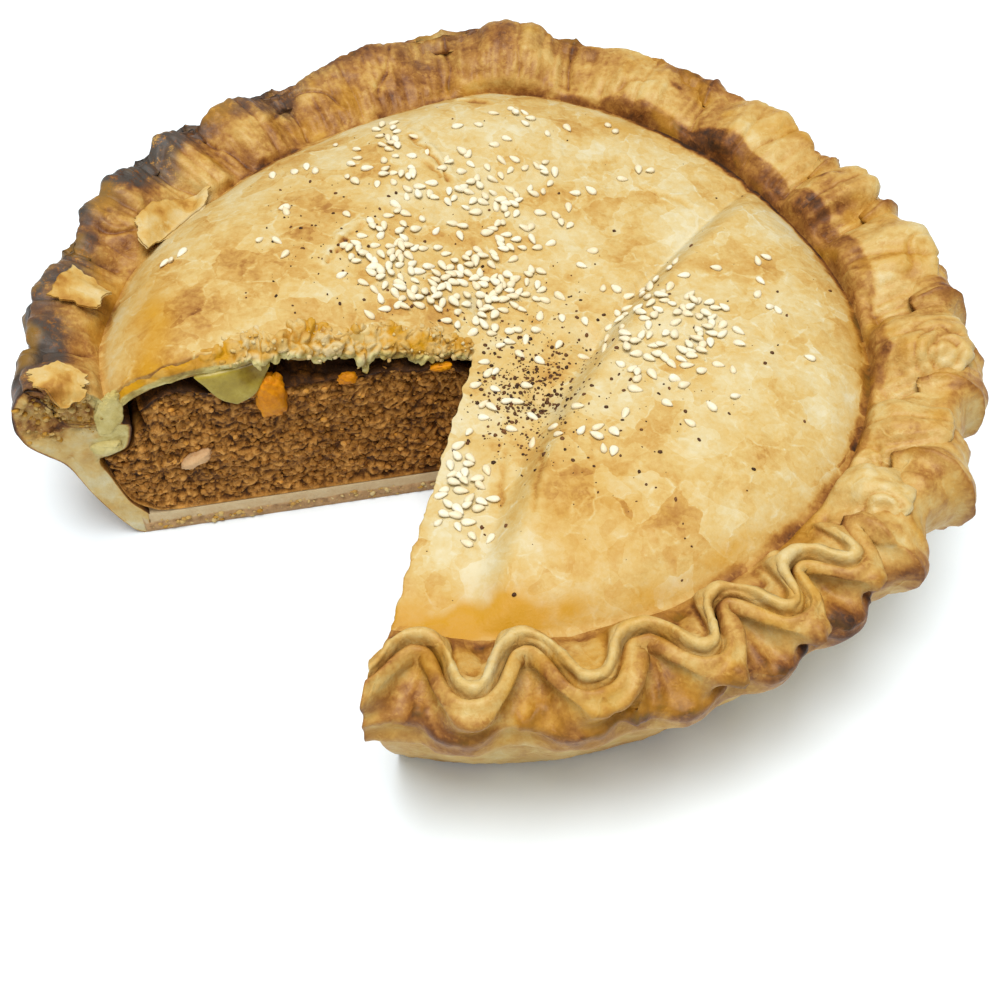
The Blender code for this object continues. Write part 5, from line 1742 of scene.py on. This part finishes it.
class PIE_OT_lid(bpy.types.Operator):
    """Domed lid with its fold, vents, cracks and flaky skin"""

    bl_idname = "pie.lid"
    bl_label = "Lid"

    def execute(self, context):
        grids = lid_points(LID_ROWS, LID_COLUMNS)
        points, triangles, zone = band(*grids, LID_LAYERS, dough_relief)
        x, y, _ = points.T
        skin = zone == 0
        stand = np.clip(proud(points, triangles, 3), -0.3, 0.3)
        edge = np.hypot(x, y) - groove_radius(pie_angle(x, y))
        edge = edge + 2.2 + 2.5 * rough(points[:, :2], 4, 3, 63)
        sticky = sticky_strength(pie_angle(x, y)) * smooth(edge / 2.2)
        amber = patches(x, y, LID_POOLS) * (1.3 + 1.2 * rough(points[:, :2], 8, 3, 48))
        material = dough_material(
            "lid dough", 0.06, 0.03, 0.16, mottle=0.48, fleck=0.5, veins=0.22, patch=0.20)
        make_piece(
            "lid", (points, triangles), material, "top_crust_pastry", ("top_crust",),
            raw=0.2 * ~skin,
            bake=np.where(skin, lid_tone(x, y) + 0.15 * stand, 0.42),
            # crease: painted shade in the cracks, and the sticky groove's own dark juice
            crease=(0.8 * crack_masks(x, y)[0] + 0.7 * sticky) * skin,
            wet=np.clip(amber, 0, 1) * skin)
        self.torn_edge()
        return {"FINISHED"}

    def torn_edge(self):
        """The crumbly broken edge of the lid along the left cut."""
        front, rear, v, clean = torn_edge_grids(TORN_ROWS, TORN_ACROSS)
        points, triangles, first = slab(front, rear)
        spread, cleanness = (np.tile(share.ravel(), 2)[first] for share in (v, clean))
        stand = proud(points, triangles, 5)
        skin = 1 - smooth((spread - 0.05) / 0.15)
        wobble = 0.12 * rough(points, 4, 2, 93)
        golden = 1 - smooth((spread + wobble - 0.74 + 0.08 * cleanness) / 0.08)
        # Painted shade and highlight: darker and more amber in the hollows between the crumbs,
        # paler on their tops.
        bake = 0.27 + 0.08 * skin + 0.20 * golden * cleanness + 0.5 * np.clip(-stand, -0.2, 0.4)
        wet = 0.22 + 0.35 * cleanness + np.clip(-1.5 * stand, 0, 0.5)
        material = dough_material("torn dough", 0.12, 0.0, 0.45, mottle=0.3, fleck=0.3)
        make_piece(
            "lid_torn_edge", (points, triangles), material, "top_crust_pastry", ("top_crust",),
            bake=bake + 0.7 * np.clip(rough(points, 4.5, 3, 95), -0.1, 1),
            crease=0.9 * np.clip(-stand, 0, 0.6),
            wet=golden * (wet + 0.7 * np.clip(2 * rough(points, 5, 2, 92), 0, 1)),
            raw=0.85 * (1 - golden))
        self.crumbs(front, clean, material)
        self.dough_wedge(material)

    def crumbs(self, face, clean, material):
        """Loose crumbs of pastry on the torn edge and on the lower edge of the cut base."""
        draw = np.random.default_rng(21)
        out = np.append(toward(OUT_OF_LEFT_CUT), 0.25)
        picked = draw.integers(0, face.shape[0], CRUMBS), draw.integers(2, face.shape[1], CRUMBS)
        torn = face[picked][draw.uniform(0, 1, CRUMBS) > clean[picked] + 0.1]
        low = cut_point(draw.uniform(2, 88, CRUMBS), 0.0, draw.uniform(0.9, 4.2, CRUMBS))
        places = np.concatenate((torn + 0.1 * out, low))
        normals = unit(out + 0.5 * draw.normal(size=places.shape))
        mesh, numbers = mixed_scatter(draw, places, normals, 0.5, 2.0, (0.5, 0.35), 2.0)
        tone = np.concatenate((np.full(len(torn), 0.30), np.full(len(low), 0.40)))
        tone = np.concatenate([tone[kind::CRUMB_KINDS] for kind in range(CRUMB_KINDS)])
        tone = np.repeat(tone, len(mesh[0]) // len(places))
        make_piece(
            "pastry_crumbs", mesh, material, "top_crust_pastry", faceted=True,
            bake=tone + 0.35 * (numbers - 0.5), wet=0.5 * (numbers > 0.8))

    def dough_wedge(self, material):
        """The pale wedge of dough at the left end of the cut, and the dough above it."""
        wedge, faces = cut_lump(DOUGH_WEDGE)
        column, column_faces = cut_lump(DOUGH_COLUMN, -0.9)
        mesh = np.concatenate((wedge, column)), np.concatenate((faces, column_faces + len(wedge)))
        make_piece("dough_wedge", mesh, material, "top_crust_pastry", bake=0.2, wet=0.1, raw=0.9)


class PIE_OT_rim(bpy.types.Operator):
    """Crimped rim: the inner layer of dough, and the wall with the outer layer"""

    bl_idname = "pie.rim"
    bl_label = "Rim and wall"

    def execute(self, context):
        grids = crimp_grid(CRIMP_ROWS, CRIMP_COLUMNS)
        points, zone = self.layer("crimp_inner", grids, CRIMP_LAYERS, "top_crust")
        roll, end = points[zone == 0], points[zone == 3]
        grids = wall_grid(WALL_ROWS, WALL_COLUMNS)
        points, zone = self.layer("wall", grids, WALL_LAYERS, "bottom_crust")
        self.flakes(np.concatenate((roll, points[(zone == 0) & (points[:, 2] > 44)])))
        self.crumbs(np.concatenate((end, points[(zone == 3) & (points[:, 2] > 36)])))
        self.base()
        return {"FINISHED"}

    def base(self):
        """The base, with a darker and coarser lower half where it is cut."""
        grids = base_grid(BASE_ROWS, BASE_COLUMNS)
        points, triangles, _ = band(*grids, BASE_LAYERS, base_relief)
        height = points[:, 2]
        split = smooth((height - 3.4 + 0.5 * rough(points, 6, 3, 96)) / 0.5)
        # Painted shade and highlight: darker in the hollows between the crumbs, paler on their
        # tops.
        pits = np.clip(proud(points, triangles, 3), -0.5, 0.2)
        material = simple_material("cut base", CUT_BASE_TONES, 0.30, 0.6, 0.3, (3.0, 0.7), 0.35)
        make_piece(
            "base", (points, triangles), material, "bottom_crust_pastry", ("bottom_crust",),
            tint=0.34 * split - 0.05 * smooth((1.5 - height) / 1.5) + 0.25 * pits)

    def flakes(self, roll):
        """Thin flakes lifted off the rim: tan on their faces, darker in spots."""
        material = dough_material("flake dough", 0.1, 0.0, 0.25, mottle=0.4, fleck=0.7, patch=0.12)
        for number, flake in enumerate(FLAKES, start=1):
            points, triangles, _ = slab(*flake_grids(flake, roll))
            tone, node = flake[-2:]
            make_piece(
                f"rim_flake_{number}", (points, triangles), material, node + "_pastry", (node,),
                bake=tone + 0.7 * np.clip(rough(points, 6, 3, 104), -0.15, 0.6), wet=0.2)

    def crumbs(self, end):
        """Crumbs of pastry on the torn left end of the rim, at random points of its cut faces."""
        draw = np.random.default_rng(31)
        along, _ = cut_frame(end[:, :2])
        end = end[(along > 93) & (end[:, 2] > 39.5) & (end[:, 2] < 53)]
        places = end[draw.integers(0, len(end), CRUMBS)]
        out = np.append(toward(OUT_OF_LEFT_CUT), 0.2)
        normals = unit(out + 0.6 * draw.normal(size=places.shape))
        mesh, numbers = mixed_scatter(draw, places, normals, 0.5, 2.2, (0.5, 0.4), 2.0)
        material = dough_material("rim crumb dough", 0.1, 0.0, 0.3, mottle=0.4, fleck=0.3)
        high = smooth((mesh[0][:, 2] - 42) / 5)
        make_piece(
            "rim_end_crumbs", mesh, material, "top_crust_pastry",
            bake=0.36 + 0.28 * (numbers - 0.4) + 0.08 * high, wet=0.5 * (numbers > 0.6))

    def layer(self, name, grids, layers, node):
        """A rim layer: brown at the seam, painted shade in creases and in front, painted highlight
        on crests.
        """
        points, triangles, zone = band(*grids, layers, dough_relief)
        x, y, z = points.T
        angle = pie_angle(x, y)
        roll, skin = rolled(angle), zone < 2
        fine, broad = proud(points, triangles, 3), proud(points, triangles, 14)
        seam = bell((ridge_away(x, y) - 0.2) / 0.5) * smooth((z - 48) / 3) * (1 - roll)
        wide = np.interp(angle, STICKY_ANGLES, STICKY_WIDE)
        outside = np.hypot(x, y) - groove_radius(angle) - 0.2 + 2.0 * rough(points, 4, 3, 63)
        groove = sticky_strength(angle) * (1 - smooth((outside - wide) / 2.0))
        tone, char = rim_tone(points)
        # Painted shade: in front the rim's outer face below its top is darker, and so is the lower
        # wall; further round the lower wall is a little paler.
        low = 1 - smooth((z - 4) / 34)
        front_face_shade = 0.27 * smooth((53.5 - z) / 8) * smooth((z - 35) / 9) + 0.05 * bell((z - 49) / 3)
        tone = tone - (0.08 * roll - 0.05) * low + (1 - roll) * front_face_shade
        # Painted highlight and shade: paler on crests and broad rises, darker in small hollows.
        tone = tone - (0.14 + 0.16 * roll) * np.clip(fine, -0.12, 0.25)
        blotch = smooth((rough(points, 7, 3, 46) - 0.05) / 0.3) * smooth((broad + 0.2) / 0.6)
        tone = tone - 0.05 * np.clip(broad, -0.6, 1.0) + (0.05 + 0.07 * roll) * blotch
        # Painted shade in the creases, with the real dark seam line between the layers and the
        # sticky groove.
        crease = np.clip(-fine, 0, 0.5) + np.clip(-0.10 * broad - 0.08, 0, 0.2) + 0.55 * seam
        crease = crease * (1 - 0.6 * (1 - roll) * smooth((47 - z) / 3))
        crease = np.clip(crease + groove + patches(x, y, RIM_MARKS), 0, 1)
        cut_tone, cut_crease, raw = self.cut_tones(points)
        material = dough_material(
            name + " dough", 0.0, 0.08, 0.3, mottle=0.48, fleck=0.6, patch=0.08, veins=0.06)
        make_piece(
            name, (points, triangles), material, node + "_pastry", (node,),
            bake=np.where(skin, tone, cut_tone), crease=np.where(skin, crease, cut_crease),
            wet=0.35 * smooth((rough(points, 9, 3, 47) - 0.05) / 0.4) * skin,
            raw=raw * ~skin, char=char * skin)
        return points, zone

    def cut_tones(self, points):
        """Tones of the cut dough: pale below, browned towards the outer edge and up the rim."""
        x, y, z = points.T
        left = x < -40
        high = smooth((z - 38) / 7) * smooth((np.hypot(x, y) - 94) / 4) * left
        along, _ = cut_frame(points[:, :2])
        slit = bell((z - 38.3 - 0.25 * (along - 91)) / 0.55) * left
        slit = slit * smooth((along - 86) / 2) * smooth((95 - along) / 2)
        pits = smooth((rough(points, 4.5, 3, 94) - 0.12) / 0.25)
        raw = 1 - smooth((along - 90 - 3 * smooth((40 - z) / 4)) / 3)
        raw = raw * smooth((z - 30) / 4) * left
        tone = 0.26 + 0.26 * high + 0.24 * rough(points, 5, 3, 97) + 0.04 * left - 0.15 * raw
        return tone, (0.10 + 0.75 * high) * pits + slit, 0.8 * raw


class PIE_OT_filling(bpy.types.Operator):
    """Minced filling with crumbly cut faces, and loose grains on them"""

    bl_idname = "pie.filling"
    bl_label = "Filling"

    def execute(self, context):
        points, triangles, _ = band(*filling_grid(MEAT_ROWS), MEAT_LAYERS, mince_relief)
        fine, broad = proud(points, triangles, 4), proud(points, triangles, 16)
        number = grains(points * np.array((1.0, 1.0, 1.3)), 4.0, 40)[2]
        # Painted shade and highlight: grains paler where they stand out, darker in the crevices
        # between them.
        tint = 0.7 * np.clip(fine, -0.25, 0.25) + 0.25 * np.clip(broad, -0.8, 0.6)
        tint = tint + 0.14 * rough(points, 7, 2, 39) + 0.24 * (number - 0.5)
        dark_top = smooth((points[:, 2] - meat_height(points[:, :2]) + 2.5) / 2.5)
        material = simple_material("mince", MINCE_TONES, 0.41, 0.7, 0.3, (2.2, 0.5), 0.6)
        make_piece(
            "mince", (points, triangles), material, "minced_meat", ("meat_filling",),
            tint=tint - 0.45 * dark_top)
        self.loose_grains(material)
        pale = simple_material(
            "pale mince", PALE_MINCE_TONES, 0.5, 0.6, 0.3, (2.5, 0.7), 0.5, tinted=False)
        make_piece("pale_mince_chunk", cut_lump(PALE_CHUNK, -0.45), pale, "minced_meat")
        return {"FINISHED"}

    def loose_grains(self, material):
        """Loose grains of mince that stand out of both cut faces."""
        draw = np.random.default_rng(5)
        places, normals = [], []
        for side, direction, count in ((-1, LEFT_CUT, LEFT_GRAINS), (0, RIGHT_CUT, RIGHT_GRAINS)):
            along = draw.uniform(1, 92, 3 * count)
            height = draw.uniform(8.2, 50, 3 * count)
            plan = TIP + along[:, None] * toward(direction)
            radius = np.hypot(*plan.T)
            top = np.minimum(meat_height(plan), np.interp(radius, *zip((78, 60), *MEAT_SHOULDER)))
            inside = (height < top - 0.5) & (height > 0.6 + np.interp(radius, *zip(*MEAT_HEEL)))
            spots = lift(plan, height)[inside][:count]
            push = mince_push(spots, side) + draw.uniform(-0.3, 0.25, len(spots))
            out = cut_out(np.zeros_like(spots), np.ones(len(spots)), side)
            places.append(cut_out(spots, push, side))
            normals.append(out + 0.35 * draw.normal(size=out.shape))
        normals = unit(np.concatenate(normals))
        mesh, numbers = mixed_scatter(draw, np.concatenate(places), normals, 0.6, 2.0)
        tint = 0.34 * (numbers - 0.40) + 0.30 * (numbers > 0.95)
        make_piece("mince_grains", mesh, material, "minced_meat", tint=tint)


class PIE_OT_cheese(bpy.types.Operator):
    """Melted pale cheese and pieces of cheddar in the left cut"""

    bl_idname = "pie.cheese"
    bl_label = "Cheese"

    def execute(self, context):
        points, triangles, _ = slab(*drape_grids(DRAPE_ROWS, DRAPE_ACROSS))
        along, _ = cut_frame(points[:, :2])
        # Painted shade: the cheese is darker in the hollow of its upper part.
        hollow = bell((along - DRAPE_HOLLOW) / 3.6) * smooth((points[:, 2] - 49) / 4)
        material = simple_material(
            "melted cheese", MELTED_TONES, 0.5, 0.32, 0.15, (7.0, 1.2), 0.4, 0.25)
        make_piece(
            "melted_cheese_drape", (points, triangles), material, "melted_cheese",
            ("melted_cheese",), tint=0.2 * rough(points, 5, 2, 99) - 0.45 * hollow)
        tones = ((0.0, CHEDDAR_DARK), (0.5, looks().cheddar_colour[:]), (1.0, CHEDDAR_PALE))
        material = simple_material(
            "cheddar", tones, 0.5, 0.55, 0.2, (4.0, 0.8), 0.8, tinted=False)
        for number, lump in enumerate(CHEDDAR, start=1):
            make_piece(
                f"cheddar_chunk_{number}", cut_lump(lump), material, "cheddar",
                (f"cheddar_piece_{number}",))
        return {"FINISHED"}


class PIE_OT_toppings(bpy.types.Operator):
    """Sesame seeds and pepper on the lid"""

    bl_idname = "pie.toppings"
    bl_label = "Seeds and pepper"

    def execute(self, context):
        draw = np.random.default_rng(12)
        spots = seed_places()
        normals = lid_normals(spots)
        normals = unit(normals + 0.16 * draw.normal(size=normals.shape))
        size = np.array((looks().seed_length / MM, SEED_WIDTH, SEED_THICKNESS))
        size = draw.uniform(0.86, 1.12, (len(spots), 1)) * size
        size = size * draw.uniform(0.9, 1.1, size.shape)
        near = np.array([np.sum(np.hypot(*(spots - spot).T) < SEED_CROWD) - 1 for spot in spots])
        rise = 0.22 * size[:, 2] + 0.28 * np.minimum(near, 3) * draw.uniform(0, 1, len(spots))
        places = lift(spots, lid_surface(*spots.T)) + normals * rise[:, None]
        turns = turned_to(normals, draw.uniform(0, 2 * math.pi, len(spots)))
        shape, faces = seed_shape()
        tones = ((0.0, SEED_DARK), (0.45, looks().seed_colour[:]), (1.0, SEED_PALE))
        material = simple_material("sesame", tones, 0.5, 0.42, 0.05, (1.6, 0.4), 0.35, 0.15)
        make_piece(
            "sesame_seeds", scatter(shape, faces, places, turns, size), material,
            "top_crust_pastry", ("top_crust",),
            tint=np.repeat(0.3 * (draw.uniform(0, 1, len(spots)) - 0.55), len(shape)))
        self.pepper(draw)
        return {"FINISHED"}

    def pepper(self, draw):
        """Coarse pepper specks, dense beside the tip and thinner to both sides."""
        spots = np.concatenate([
            draw.normal((x, y), (spread_x, spread_y), (count, 2))
            for x, y, spread_x, spread_y, count in PEPPER_PATCHES
        ])
        spots = spots[keep_on_lid(spots, 3.0)]
        places = lift(spots, lid_surface(*spots.T) + 0.05)
        normals = lid_normals(spots)
        mesh, numbers = mixed_scatter(draw, places, normals, 0.22, 1.3, (0.5, 0.4), 2.2)
        material = simple_material("pepper", PEPPER_TONES, 0.3, 0.6, 0.05, (0.8, 0.3), 0.4)
        make_piece("pepper", mesh, material, "top_crust_pastry", tint=0.5 * (numbers - 0.4))


class PIE_PT_panel(bpy.types.Panel):
    """Lists the pie's pieces"""

    bl_label = "Meat Pie"
    bl_idname = "PIE_PT_panel"
    bl_space_type = "VIEW_3D"
    bl_region_type = "UI"
    bl_category = "Meat Pie"

    def draw(self, context):
        for name in ("seed_colour", "cheddar_colour", "floor_colour", "seed_length"):
            self.layout.prop(context.scene.pie_looks, name)
        for operator in OPERATORS:
            self.layout.operator(operator.bl_idname)


OPERATORS = (PIE_OT_stage, PIE_OT_lid, PIE_OT_rim, PIE_OT_filling, PIE_OT_cheese, PIE_OT_toppings)
CLASSES = (PieLooks,) + OPERATORS + (PIE_PT_panel,)


def register():
    """Add the classes and the scene's settings."""
    for item in CLASSES:
        bpy.utils.register_class(item)
    bpy.types.Scene.pie_looks = bpy.props.PointerProperty(type=PieLooks)


def unregister():
    """Take the settings and the classes away again."""
    del bpy.types.Scene.pie_looks
    for item in reversed(CLASSES):
        bpy.utils.unregister_class(item)


def main():
    """Build the pie."""
    register()
    bpy.ops.pie.stage()
    bpy.ops.pie.lid()
    bpy.ops.pie.rim()
    bpy.ops.pie.filling()
    bpy.ops.pie.cheese()
    bpy.ops.pie.toppings()


if __name__ == "__main__":
    main()
